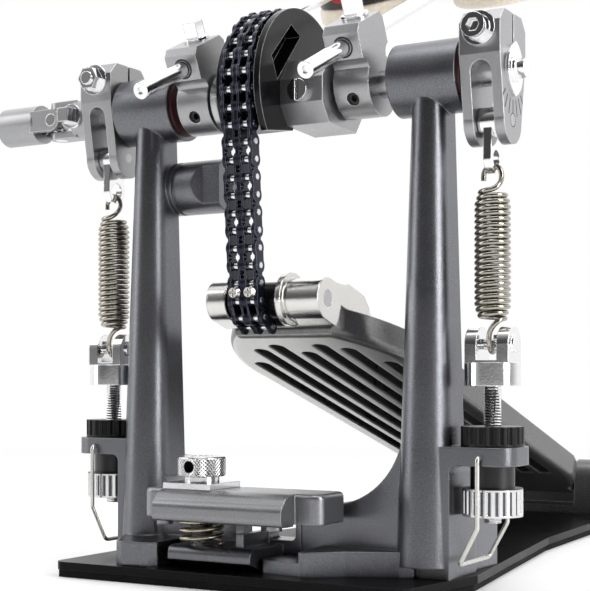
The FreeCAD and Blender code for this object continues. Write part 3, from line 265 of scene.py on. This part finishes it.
def distance(tree, a, b):
    """Length of the step that goes a one way and b square to it."""
    return calc(tree, "SQRT", calc(tree, "MULTIPLY_ADD", a, a, calc(tree, "MULTIPLY", b, b)))


def band_group():
    """1 where Value lies between Low and High, fading to 0 over Soft at both ends."""
    tree, given, out = shader_group(
        "band", {"Value": 0.0, "Low": 0.0, "High": 1.0, "Soft": 0.2 * MM}, {"Mask": "Float"})
    above = calc(tree, "DIVIDE", calc(tree, "SUBTRACT", given["Value"], given["Low"]), given["Soft"])
    below = calc(tree, "DIVIDE", calc(tree, "SUBTRACT", given["High"], given["Value"]), given["Soft"])
    rise = calc(tree, "ADD", above, 1.0, clamp=True)
    fall = calc(tree, "ADD", below, 1.0, clamp=True)
    tree.links.new(product(tree, rise, fall), out.inputs["Mask"])
    return tree


band_mask = band_group()


def band(tree, value, low, high, soft=0.2 * MM):
    """Mask of a value between two ends."""
    given = {"Value": value, "Low": low, "High": high, "Soft": soft}
    return shade(tree, "ShaderNodeGroup", given, node_tree=band_mask).outputs["Mask"]


def thread_group():
    """Height of a screw thread about an upright axis: a triangle wave of height plus turn over pitch,
    only within the thread's radius."""
    tree, given, out = shader_group(
        "screw thread", {"Axis X": 0.0, "Axis Y": 0.0, "Pitch": 1.0 * MM, "Radius": 3.0 * MM},
        {"Height": "Float"})
    x, y, z = coordinates(tree)
    dx = calc(tree, "SUBTRACT", x, given["Axis X"])
    dy = calc(tree, "SUBTRACT", y, given["Axis Y"])
    turn = calc(tree, "DIVIDE", calc(tree, "ARCTAN2", dy, dx), 2 * math.pi)
    wave = calc(tree, "PINGPONG", calc(tree, "ADD", calc(tree, "DIVIDE", z, given["Pitch"]), turn), 0.5)
    inside = calc(tree, "LESS_THAN", distance(tree, dx, dy), given["Radius"])
    tree.links.new(product(tree, wave, 2.0, inside), out.inputs["Height"])
    return tree


screw_thread = thread_group()


def thread(axis_x, axis_y, pitch, radius):
    """Relief of a thread on one screw."""
    given = {"Axis X": axis_x, "Axis Y": axis_y, "Pitch": pitch, "Radius": radius}
    return lambda tree: shade(tree, "ShaderNodeGroup", given, node_tree=screw_thread).outputs["Height"]


def from_stud(tree):
    """X and Y from the stud's line, and Z."""
    x, y, z = coordinates(tree)
    return calc(tree, "SUBTRACT", x, STUD_X), calc(tree, "SUBTRACT", y, STUD_Y), z


def diamond_knurl(tree):
    """Two crossing sets of ridges round the nut, only on its round grip."""
    dx, dy, z = from_stud(tree)
    turn = calc(tree, "MULTIPLY", calc(tree, "ARCTAN2", dy, dx), KNURLS / (2 * math.pi))
    climb = calc(tree, "DIVIDE", z, KNURL_RISE)
    one = calc(tree, "PINGPONG", calc(tree, "ADD", turn, climb), 0.5)
    two = calc(tree, "PINGPONG", calc(tree, "SUBTRACT", turn, climb), 0.5)
    grip = calc(tree, "GREATER_THAN", distance(tree, dx, dy), GRIP_RADIUS)
    height = band(tree, z, knob_top - GRIP_HEIGHT, knob_top - GRIP_EDGE)
    return product(tree, calc(tree, "MINIMUM", one, two), grip, height)


def key_hole_painted_shade(tree):
    """Mask of the painted shade on the walls of the hole in the side of the nut's grip, inside its rim."""
    dx, dy, z = from_stud(tree)
    dz = calc(tree, "SUBTRACT", z, knob_top - KEY_DEPTH)
    near = calc(tree, "LESS_THAN", distance(tree, dx, dz), KEY_HOLE)
    return product(tree, near, calc(tree, "LESS_THAN", distance(tree, dx, dy), GRIP_RADIUS))


def plated(name, coat, worn, rough, grain=0.25, **more):
    """Bright metal plate."""
    return finish(name, coat, worn, 1.0, rough, grain=grain, scale=1500, drift=60, bump=0.01, **more)


def wire(name, coat, worn, rough):
    """Drawn and coated spring wire."""
    return finish(name, coat, worn, 1.0, rough, grain=0.4, scale=1800, drift=90, bump=0.02, bevel=0)


dress(finish("clamp jaw paint", (0.210, 0.212, 0.222), (0.38, 0.382, 0.395), 0.9, (0.24, 0.36),
             scale=3000, drift=30, bump=0.07, bevel=0.8 * MM, rubbed=grey(0.34)), "clamp_jaw")
# The walls of the nut's side hole are painted near black as shade.
dress(plated("knurled nut plate", (0.64, 0.64, 0.65), grey(0.48), (0.14, 0.24),
             zones=[(key_hole_painted_shade, grey(0.004), 0.0, 0.6)], relief=(diamond_knurl, KNURL_DEPTH)), "clamp_knob")
dress(plated("stud plate", (0.62, 0.62, 0.63), grey(0.45), (0.18, 0.3), grain=0.3,
             relief=(thread(STUD_X, STUD_Y, STUD_PITCH, STUD_RADIUS), STUD_DEPTH)), "clamp_stud")


def grid_piece(name, points, mat):
    """Closed mesh over a grid of points: the second parameter runs round, and both ends are capped."""
    along, round_ = points.shape[:2]
    index = np.arange(along * round_).reshape(along, round_)
    here, there = index[:-1], index[1:]
    quads = np.stack([here, np.roll(here, -1, 1), np.roll(there, -1, 1), there], -1).reshape(-1, 4)
    mesh = bpy.data.meshes.new(name)
    mesh.from_pydata(points.reshape(-1, 3).tolist(), [],
                     quads.tolist() + [index[0, ::-1].tolist(), index[-1].tolist()])
    mesh.shade_smooth()
    mesh.materials.append(mat)
    piece = bpy.data.objects.new(name, mesh)
    bpy.context.scene.collection.objects.link(piece)
    return piece


def wire_tube(path, lean, dia, sides=10):
    """Rings of a round wire: at each path point, a circle square to the path, turned to the lean vector."""
    ahead = np.gradient(path, axis=0)
    ahead /= np.linalg.norm(ahead, axis=1, keepdims=True)
    first = lean - ahead * np.sum(lean * ahead, axis=1, keepdims=True)
    first /= np.linalg.norm(first, axis=1, keepdims=True)
    second = np.cross(ahead, first)
    a = np.linspace(0, 2 * math.pi, sides, endpoint=False)[None, :, None]
    return path[:, None] + dia / 2 * (np.cos(a) * first[:, None] + np.sin(a) * second[:, None])


brass_wire = wire("brassed wire", (0.46, 0.41, 0.31), (0.27, 0.235, 0.17), (0.2, 0.34))
# The clamp coil is a helix of one radius round the stud, between the ends of its CAD solid.
low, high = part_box("clamp_spring")
turn = np.linspace(0, 2 * math.pi * CLAMP_TURNS, CLAMP_STEPS * CLAMP_TURNS + 1)
spoke = np.stack([np.cos(turn), np.sin(turn), 0 * turn], -1)
rise = np.linspace(low.z + CLAMP_WIRE / 2, high.z - CLAMP_WIRE / 2, len(turn))
coil_path = spoke * CLAMP_COIL + np.array([STUD_X, STUD_Y, 0]) + np.stack([0 * turn, 0 * turn, rise], -1)
clamp_coil = grid_piece("clamp_coil", wire_tube(coil_path, spoke, CLAMP_WIRE), brass_wire)
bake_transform(clamp_coil)
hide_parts("clamp_spring")

# Tension rods. Plated M6 rods with a fork head above a black fluted lock nut, and below the arm a
# plated fluted nut with a black hub.
SIDES = {"left": -1, "right": 1}
SPRING_X, ROD_PITCH, ROD_RADIUS, ROD_DEPTH = 82.0 * MM, 1.0 * MM, 3.1 * MM, 0.45 * MM
KNOB_HUB, KNOB_RIM, FLUTE_END, FAR = 8.0 * MM, 10.08 * MM, 0.9 * MM, 1.0
knob_low, knob_high = (corner.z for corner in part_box("right_tension_knob"))
hub_low = knob_high - KNOB_HUB


def flute_painted_shade(tree):
    """Mask of the painted shade in the grooves round a fluted nut, which lie inside its rim and stop short
    of its ends.
    """
    x, y, z = coordinates(tree)
    off = calc(tree, "SUBTRACT", calc(tree, "ABSOLUTE", x), SPRING_X)
    inside = calc(tree, "LESS_THAN", distance(tree, off, y), KNOB_RIM)
    return product(tree, inside, band(tree, z, knob_low + FLUTE_END, hub_low - FLUTE_END))


def knob_hub(tree):
    """Mask of the nut's hub, which is all of it above its rim."""
    return band(tree, coordinates(tree)[2], hub_low, FAR)


for side, way in SIDES.items():
    dress(plated(side + " tension rod plate", CHROME, grey(0.64), (0.07, 0.16),
                 relief=(thread(way * SPRING_X, 0.0, ROD_PITCH, ROD_RADIUS), ROD_DEPTH)),
          side + "_tension_rod")
# The fluted nut's grooves are darkened with painted shade; its black hub is its own colour.
dress(plated("fluted nut plate", (0.66, 0.66, 0.67), grey(0.50), (0.10, 0.20),
             zones=[(flute_painted_shade, (0.09, 0.09, 0.095), 1.0, 0.25), (knob_hub, grey(0.004), 0.0, 0.4)]),
      "left_tension_knob", "right_tension_knob")
black_satin = finish("black satin metal", BLACK, (0.014, 0.014, 0.015), 0.0, (0.24, 0.36),
                     grain=0.4, scale=2400, drift=40, bump=0.05, rubbed=grey(0.06), **LOW_SHINE)
dress(black_satin, "left_lock_knob", "right_lock_knob")

# Tension springs. Nickel-plated music wire, close wound, with tapered ends and a hook at each end: the
# upper one in the link, the lower one on the fork pin of the tension rod.
SPRING_WIRE, SHOWN_WIRE, COIL_DIA, COIL_RISE = 1.5 * MM, 1.88 * MM, 12.4 * MM, 1.95 * MM
TURN_POINTS, PART_TURN, TAPER_TURNS, END_RADIUS = 40, 0.75, 2.5, 0.78
HOOK, HOOK_POINTS, HOOK_TIP = 3.3 * MM, 14, 1.5 * MM
TAIL_LENGTH, TAIL_HOOK, TAIL_LEAD = 11.6 * MM, 4.6 * MM, 1.6 * MM
NOSE_LENGTH, NOSE_HOOK, NOSE_LEAD = 9.2 * MM, 5.4 * MM, 1.8 * MM
nickel_wire = wire("nickel wire", (0.38, 0.36, 0.31), (0.22, 0.205, 0.175), (0.14, 0.26))


def smooth_run(marks, steps, pull=1.1):
    """Points on cubic curves through marks of (point, direction). Each end of a curve reaches along its
    direction by pull times the chord."""
    p = np.array([m[0] for m in marks], float)
    d = np.array([m[1] for m in marks], float)
    d /= np.linalg.norm(d, axis=1, keepdims=True)
    reach = np.linalg.norm(p[1:] - p[:-1], axis=1)[:, None, None] * pull
    t = np.linspace(0, 1, steps, endpoint=False)[None, :, None]
    curve = ((2 * t ** 3 - 3 * t ** 2 + 1) * p[:-1, None] + (t ** 3 - 2 * t ** 2 + t) * reach * d[:-1, None]
             + (3 * t ** 2 - 2 * t ** 3) * p[1:, None] + (t ** 3 - t ** 2) * reach * d[1:, None])
    return np.vstack([curve.reshape(-1, 3), p[-1:]])


# A spring is a helix whose radius eases in toward both ends, carried on into the hooks by smooth runs.
for side, way in SIDES.items():
    low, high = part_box(side + "_spring")
    pin, eye = low.z + SPRING_WIRE / 2, high.z - SPRING_WIRE / 2
    bottom, top = pin + TAIL_LENGTH, eye - NOSE_LENGTH
    turns = math.floor((top - bottom) / COIL_RISE - PART_TURN + 1e-6) + PART_TURN
    turn = np.linspace(0, 2 * math.pi * turns, int(TURN_POINTS * turns))
    share = turn / (2 * math.pi)
    taper = np.clip(np.minimum(share, turns - share) / TAPER_TURNS, 0, 1)
    ease = taper * taper * (3 - 2 * taper)
    radius = (COIL_DIA - SPRING_WIRE) / 2 * (END_RADIUS + (1 - END_RADIUS) * ease)
    spoke = np.stack([np.cos(turn), np.sin(turn), 0 * turn], -1)
    coil = spoke * radius[:, None]
    coil[:, 2] = np.linspace(bottom, top, len(turn))
    grow = radius[0]
    hook, over = pin + TAIL_HOOK, top + NOSE_HOOK
    tail = smooth_run([((0, HOOK, hook + HOOK_TIP), (0, 0, -1)), ((0, HOOK, hook), (0, 0, -1)),
                       ((0, 0, pin), (0, -1, 0)), ((0, -HOOK, hook), (0, 0, 1)),
                       ((0.6 * grow, -0.75 * grow, bottom - TAIL_LEAD), (0.7, 0.25, 0.66)),
                       (coil[0], (0, 1, 0.05))], HOOK_POINTS)[:-1]
    nose = smooth_run([(coil[-1], (1, 0, 0.05)),
                       ((0.75 * grow, -0.6 * grow, top + NOSE_LEAD), (0.3, 0.65, 0.7)),
                       ((HOOK, 0, over), (0, 0, 1)), ((0, 0, eye), (-1, 0, 0)),
                       ((-HOOK, 0, over), (0, 0, -1)), ((-HOOK, 0, over - HOOK_TIP), (0, 0, -1))],
                      HOOK_POINTS)[1:]
    lean = np.vstack([np.tile([1.0, 0, 0], (len(tail), 1)), spoke, np.tile([0, -1.0, 0], (len(nose), 1))])
    path = np.vstack([tail, coil, nose]) + np.array([way * SPRING_X, 0, 0])
    spring = grid_piece(side + "_spring_coil", wire_tube(path, lean, SHOWN_WIRE), nickel_wire)
    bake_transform(spring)
    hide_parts(side + "_spring")

# Levers, links and hubs. The levers, hubs and yokes are satin machined alloy. Socket bolts clamp the levers
# on the axles, and screws hold the hubs and the inner yoke; links, rods and bolts are bright plated. The
# right lever has a plated index plate and a fan of engraved lines under it.
AXLE_Z, ROD_BORE, PIN_GAP = 182.0 * MM, 3.9 * MM, 0.5 * MM
GRUB_REACH, YOKE_SIDE, FACE_SKIN = 11.4 * MM, -60.0 * MM, 0.1 * MM
LINE_STEP, FAN_HALF, LINE_HALF = math.radians(14), math.radians(44), 0.33 * MM
LINE_START, LINE_END, LINE_SOFT = 10.6 * MM, 16.2 * MM, 0.05 * MM
slides = {joint["name"]: joint for joint in frame["joints"]}
lever_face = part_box("right_lever")[1].x - FACE_SKIN
pin_low, pin_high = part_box("right_lever_pin")


def satin_alloy(name, zones=()):
    """Machined alloy with bright rubbed edges."""
    return finish(name, (0.33, 0.33, 0.34), (0.45, 0.45, 0.46), 0.9, (0.26, 0.38), scale=2600, drift=45,
                  bump=0.05, bevel=0.6 * MM, rubbed=grey(0.80), zones=zones)


def rod_line(side):
    """A point on a beater rod's centre line, and the line's direction."""
    low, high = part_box(side + "_beater_rod")
    return (low + high) / 2, np.array(slides[side + "_beater_height"]["axis"], float)


def from_rod(tree, side):
    """Distance from a beater rod's line, and how far along it."""
    middle, rod_way = (tuple(part) for part in rod_line(side))
    at = place_of(tree)
    arm = vector(tree, "CROSS_PRODUCT", vector(tree, "SUBTRACT", at, middle), rod_way)
    return vector(tree, "LENGTH", arm), vector(tree, "DOT_PRODUCT", at, rod_way)


def from_axle(tree):
    """X, the angle from straight down, and the distance from the axle's line."""
    x, y, z = coordinates(tree)
    down = calc(tree, "SUBTRACT", AXLE_Z, z)
    return x, calc(tree, "ARCTAN2", y, down), distance(tree, y, down)


def grub_screws(tree):
    """Mask of the blackened grub screws, which lie inside the collars."""
    x, _, out_r = from_axle(tree)
    inside = calc(tree, "LESS_THAN", out_r, GRUB_REACH)
    return product(tree, inside, calc(tree, "GREATER_THAN", x, YOKE_SIDE))


def index_lines(tree):
    """Seven radial lines below the index plate, on the lever's outer face alone."""
    x, turn, out_r = from_axle(tree)
    across = product(tree, calc(tree, "PINGPONG", turn, LINE_STEP / 2), out_r)
    line = calc(tree, "LESS_THAN", across, LINE_HALF)
    fan = calc(tree, "LESS_THAN", calc(tree, "ABSOLUTE", turn), FAN_HALF)
    ring = band(tree, out_r, LINE_START, LINE_END, LINE_SOFT)
    return product(tree, line, fan, ring, calc(tree, "GREATER_THAN", x, lever_face))


def painted_pin_shade(tree):
    """Mask of the painted shade at the edge of the pin's bore, on the lever's outer face alone."""
    x, y, z = coordinates(tree)
    dy = calc(tree, "SUBTRACT", y, (pin_low.y + pin_high.y) / 2)
    dz = calc(tree, "SUBTRACT", z, (pin_low.z + pin_high.z) / 2)
    bore = calc(tree, "LESS_THAN", distance(tree, dy, dz), (pin_high.z - pin_low.z) / 2 + PIN_GAP)
    return product(tree, bore, calc(tree, "GREATER_THAN", x, lever_face))


# Each hub's near-black ring round the rod's bore is painted shade.
for side in SIDES:
    def painted_bore_shade(tree):
        """Mask of the painted shade at the edge of the rod's bore in a hub."""
        return calc(tree, "LESS_THAN", from_rod(tree, side)[0], ROD_BORE)

    dress(satin_alloy(side + " hub alloy", [(painted_bore_shade, (0.01, 0.01, 0.012), 0.0, 0.5)]),
          side + "_beater_hub")
dress(satin_alloy("satin machined alloy"), "left_lever", "cam_hub", "inner_yoke", "outer_yoke")
# The index lines are engraved; the near-black ring round the pin's bore is painted shade.
lines_and_painted_shade = [(mask, grey(0.015), 0.0, 0.6) for mask in (index_lines, painted_pin_shade)]
dress(satin_alloy("satin lever with index lines", lines_and_painted_shade), "right_lever")
dress(plated("bright plate", CHROME, grey(0.62), (0.06, 0.15), bevel=0.5 * MM),
      "left_spring_link", "right_spring_link", "cam_screw", "left_lever_bolt", "right_lever_bolt",
      "index_plate", "joint_cross", "left_beater_rod", "right_beater_rod")
dress(plated("plated key bolts", CHROME, grey(0.62), (0.08, 0.18), bevel=0.5 * MM,
             zones=[(grub_screws, grey(0.006), 0.0, 0.4)]), "left_clamp_screws", "right_clamp_screws")

# Cam. A sector of black anodised alloy, turned and milled, that sits on the axle beside its hub. It is
# glossy, with the machined rim of its flange left bright.
dress(finish("black cam", (0.003, 0.003, 0.0035), (0.009, 0.009, 0.010), 0.0, (0.14, 0.24), grain=0.3,
             scale=2400, drift=40, bump=0.02, rubbed=(0.42, 0.42, 0.43), **LOW_SHINE), "cam")

# Chain. Two strands of quarter-inch roller chain: blued side plates, bright rollers between them and
# bright pin heads outside, held at the toe by a black block and two cross-head screws.
CHAIN_X, HALF_STRAND, ROLLER_HALF, PIN_HEAD = -4.0 * MM, 3.2 * MM, 1.49 * MM, 6.34 * MM
CHAIN_SOFT = 0.02 * MM
BRIGHT = (0.70, 0.70, 0.72)


def from_chain(tree):
    """Distance to either side of the chain's middle plane."""
    return calc(tree, "ABSOLUTE", calc(tree, "SUBTRACT", coordinates(tree)[0], CHAIN_X))


def rollers(tree):
    """Mask of the rollers of both strands: a band across each strand's middle."""
    return band(tree, from_chain(tree), HALF_STRAND - ROLLER_HALF, HALF_STRAND + ROLLER_HALF, CHAIN_SOFT)


def pin_heads(tree):
    """Mask of the pin ends that stand out of the outer plates."""
    return band(tree, from_chain(tree), PIN_HEAD, FAR, CHAIN_SOFT)


dress(finish("blued chain", (0.009, 0.010, 0.020), (0.036, 0.038, 0.055), 0.7, (0.2, 0.32), grain=0.4,
             scale=2400, drift=80, bump=0.04, bevel=0.2 * MM, rubbed=(0.16, 0.17, 0.22),
             zones=[(rollers, BRIGHT, 1.0, 0.16), (pin_heads, BRIGHT, 1.0, 0.2)]),
      "chain_on_cam", "chain_link_first", "chain_link_second", "chain_link_third", "chain_link_fourth",
      "chain_hanging")
dress(black_satin, "chain_block")
dress(plated("nickel screws", (0.72, 0.70, 0.65), (0.55, 0.53, 0.49), (0.16, 0.26), grain=0.3),
      "chain_screws")

# Footboard. Die-cast alloy, ribbed below and tumbled to a dark grey, with the rib faces polished bright;
# the toe clevis is polished and lies on top of its front end, and the heel plate is the same alloy.
TOE_Y, TOE_Z, HEEL_Y, HEEL_Z = -13.0 * MM, 104.4 * MM, 250.0 * MM, 25.0 * MM
RIB_FACE, RIB_SOFT = -9.3 * MM, 0.3 * MM
BOARD_FALL = math.atan2(TOE_Z - HEEL_Z, HEEL_Y - TOE_Y)


def rib_faces(tree):
    """Mask of the lowest faces of the ribs, by depth below the board's own plane."""
    _, y, z = coordinates(tree)
    along = calc(tree, "MULTIPLY", calc(tree, "SUBTRACT", y, TOE_Y), math.sin(BOARD_FALL))
    depth = calc(tree, "MULTIPLY_ADD", calc(tree, "SUBTRACT", z, TOE_Z), math.cos(BOARD_FALL), along)
    return band(tree, depth, -FAR, RIB_FACE, RIB_SOFT)


def board_alloy(name, zones=()):
    """Tumbled casting with bright rubbed edges."""
    return finish(name, (0.125, 0.125, 0.128), grey(0.25), 0.85, (0.24, 0.38), scale=2200, drift=40,
                  bump=0.05, bevel=0.8 * MM, rubbed=grey(0.60), zones=zones)


dress(board_alloy("tumbled board alloy", [(rib_faces, (0.50, 0.50, 0.49), 0.9, 0.28)]), "footboard")
dress(board_alloy("heel plate alloy"), "heel_plate")
dress(finish("polished clevis", (0.66, 0.65, 0.63), (0.50, 0.50, 0.48), 1.0, (0.12, 0.24), grain=0.35,
             scale=1800, drift=40, bump=0.03, bevel=1.0 * MM), "toe_clevis")

# Beaters. A plated rod carries a moulded black core with a red socket, whose bare face strikes; a disc of
# pressed cream felt is glued on the other side, for when the beater is turned round.
FELT_DIA, FELT_THICK, SOCKET_RADIUS, SOCKET_LIP = 50.0 * MM, 10.5 * MM, 6.8 * MM, 1.2 * MM
FELT_RINGS, FELT_POINTS, RIM_POWER, CROWN_POWER, UNEVEN = 41, 96, 0.22, 0.55, 0.004
ACROSS = np.array([1.0, 0, 0])
felt_cream = finish("pressed felt", (0.78, 0.70, 0.55), (0.90, 0.85, 0.74), 0.0, (0.88, 0.97), grain=0.7,
                    scale=900, drift=60, bump=0.5, bevel=0,
                    **{"Sheen Weight": 0.5, "Sheen Roughness": 0.6})
# A disc's radius and lift are powers of the cosine and sine of v, and its rim is a little uneven round u.
for side in SIDES:
    rod_way = rod_line(side)[1]
    low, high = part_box(side + "_beater_felt")
    centre = np.array((low + high) / 2)
    socket_end = float(centre @ rod_way) - FELT_DIA / 2 + SOCKET_LIP

    def socket(tree):
        """Mask of the core's socket: near the rod's line, and short of the disc."""
        out_r, along = from_rod(tree, side)
        return product(tree, calc(tree, "LESS_THAN", out_r, SOCKET_RADIUS),
                       calc(tree, "LESS_THAN", along, socket_end))

    dress(finish(side + " beater core", (0.009, 0.009, 0.010), grey(0.03), 0.0, (0.22, 0.36), grain=0.4,
                 scale=2000, drift=40, bump=0.04, zones=[(socket, (0.42, 0.010, 0.012), 0.0, 0.28)]),
          side + "_beater_core")
    through = np.array([0.0, rod_way[2], -rod_way[1]])
    v = np.linspace(-math.pi / 2, math.pi / 2, FELT_RINGS)[1:-1]
    ring = FELT_DIA / 2 * np.cos(v) ** RIM_POWER
    lift = FELT_THICK / 2 * np.sign(np.sin(v)) * np.abs(np.sin(v)) ** CROWN_POWER
    u = np.linspace(0, 2 * math.pi, FELT_POINTS, endpoint=False)
    uneven = 1 - UNEVEN * (1 + np.sin(5 * u + 1.0) * np.sin(3 * u))
    flat = (ring[:, None] * uneven)[:, :, None]
    disc = (centre + flat * (np.cos(u)[None, :, None] * ACROSS
                             + np.sin(u)[None, :, None] * np.cross(through, ACROSS))
            + lift[:, None, None] * through)
    felt = grid_piece(side + "_felt_disc", disc, felt_cream)
    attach(felt, side + "_beater")
    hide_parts(side + "_beater_felt")

# Studio. A pale floor that goes over into a white background, soft panels at both sides and above, a dark
# room behind the camera, and the camera at the photograph's place.
WHITE = (1, 1, 1, 1)
FLOOR_RINGS, FLOOR_POINTS, GLOW_START, GLOW_FULL = (0.02, 0.3, 0.8, 2.0, 5.0), 64, 0.25, 1.1
SIDE_PANEL, TOP_PANEL = (0.45, 1.1), (0.9, 0.7)
SKY_HEIGHTS, SKY_LIGHT = (-0.1, 0.6), (0.55, 0.85)
CAMERA_SIDE, ROOM_EDGES, ROOM_LIGHT = (0.5, -0.866, 0.0), (-0.5, 0.62), (1.75, 0.08)


def floor_material():
    """White floor: matt near the object, glowing further out, where it meets the background."""
    mat = bpy.data.materials.new("pale floor")
    mat.use_nodes = True
    tree = mat.node_tree
    tree.nodes.clear()
    glow = spread(tree, vector(tree, "LENGTH", place_of(tree)), GLOW_START, GLOW_FULL)
    matt = shade(tree, "ShaderNodeBsdfDiffuse", {"Color": (*grey(0.9), 1)})
    light = shade(tree, "ShaderNodeEmission", {"Color": WHITE, "Strength": 1.0})
    both = shade(tree, "ShaderNodeMixShader", {0: glow, 1: matt.outputs[0], 2: light.outputs[0]})
    shade(tree, "ShaderNodeOutputMaterial", {"Surface": both.outputs[0]})
    return mat


ring = np.array(FLOOR_RINGS)[:, None]
u = np.linspace(0, 2 * math.pi, FLOOR_POINTS, endpoint=False)
floor_points = np.stack([ring * np.cos(u), ring * np.sin(u), 0 * ring * u], -1)
index = np.arange(ring.size * u.size).reshape(ring.size, u.size)
here, there = index[:-1], index[1:]
quads = np.stack([here, there, np.roll(there, -1, 1), np.roll(here, -1, 1)], -1).reshape(-1, 4)
floor_mesh = bpy.data.meshes.new("floor")
floor_mesh.from_pydata(floor_points.reshape(-1, 3).tolist(), [], quads.tolist() + [index[0].tolist()])
floor_mesh.materials.append(floor_material())
floor = bpy.data.objects.new("floor", floor_mesh)
bpy.context.scene.collection.objects.link(floor)


def soft_panel(name, place, target, size, power):
    """Rectangular soft light at a place, turned to its target."""
    lamp = bpy.data.lights.new(name, "AREA")
    lamp.shape = "RECTANGLE"
    lamp.size, lamp.size_y = size
    lamp.energy = power
    panel = bpy.data.objects.new(name, lamp)
    bpy.context.scene.collection.objects.link(panel)
    panel.location = place
    x, y, z = np.array(target, float) - np.array(place, float)
    panel.rotation_euler = (math.atan2(math.hypot(x, y), -z), 0, math.atan2(-x, y))


soft_panel("left panel", (-0.95, -0.55, 0.55), (0, 0, 0.12), SIDE_PANEL, 3.5)
soft_panel("right panel", (1.05, -0.15, 0.50), (0, 0, 0.12), SIDE_PANEL, 11)
soft_panel("top panel", (0.05, -0.15, 1.25), (0, 0, 0.1), TOP_PANEL, 6)

world = bpy.data.worlds.new("studio")
bpy.context.scene.world = world
world.use_nodes = True
room = world.node_tree
room.nodes.clear()
sight = shade(room, "ShaderNodeTexCoord").outputs["Generated"]
height = shade(room, "ShaderNodeSeparateXYZ", {"Vector": sight}).outputs[2]
front = vector(room, "DOT_PRODUCT", sight, CAMERA_SIDE)
bright = spread(room, height, *SKY_HEIGHTS, *SKY_LIGHT)
dark = spread(room, front, *ROOM_EDGES, *ROOM_LIGHT, curve="SMOOTHSTEP")
sky = shade(room, "ShaderNodeBackground", {"Color": WHITE, "Strength": product(room, bright, dark)})
card = shade(room, "ShaderNodeBackground", {"Color": WHITE, "Strength": 1.0})
seen = shade(room, "ShaderNodeLightPath").outputs["Is Camera Ray"]
both = shade(room, "ShaderNodeMixShader", {0: seen, 1: sky.outputs[0], 2: card.outputs[0]})
shade(room, "ShaderNodeOutputWorld", {"Surface": both.outputs[0]})
bpy.context.scene.view_settings.view_transform = "Standard"

camera = bpy.data.cameras.new("view")
camera.sensor_fit = "HORIZONTAL"
camera.sensor_width = 36.0
camera.lens = 84.2
camera.shift_y = 0.1415
camera.clip_start = 0.01
view = bpy.data.objects.new("view", camera)
bpy.context.scene.collection.objects.link(view)
view.location = (0.2619, -0.4486, 0.0754)
view.rotation_euler = (math.radians(90), 0, math.radians(30))
bpy.context.scene.camera = view
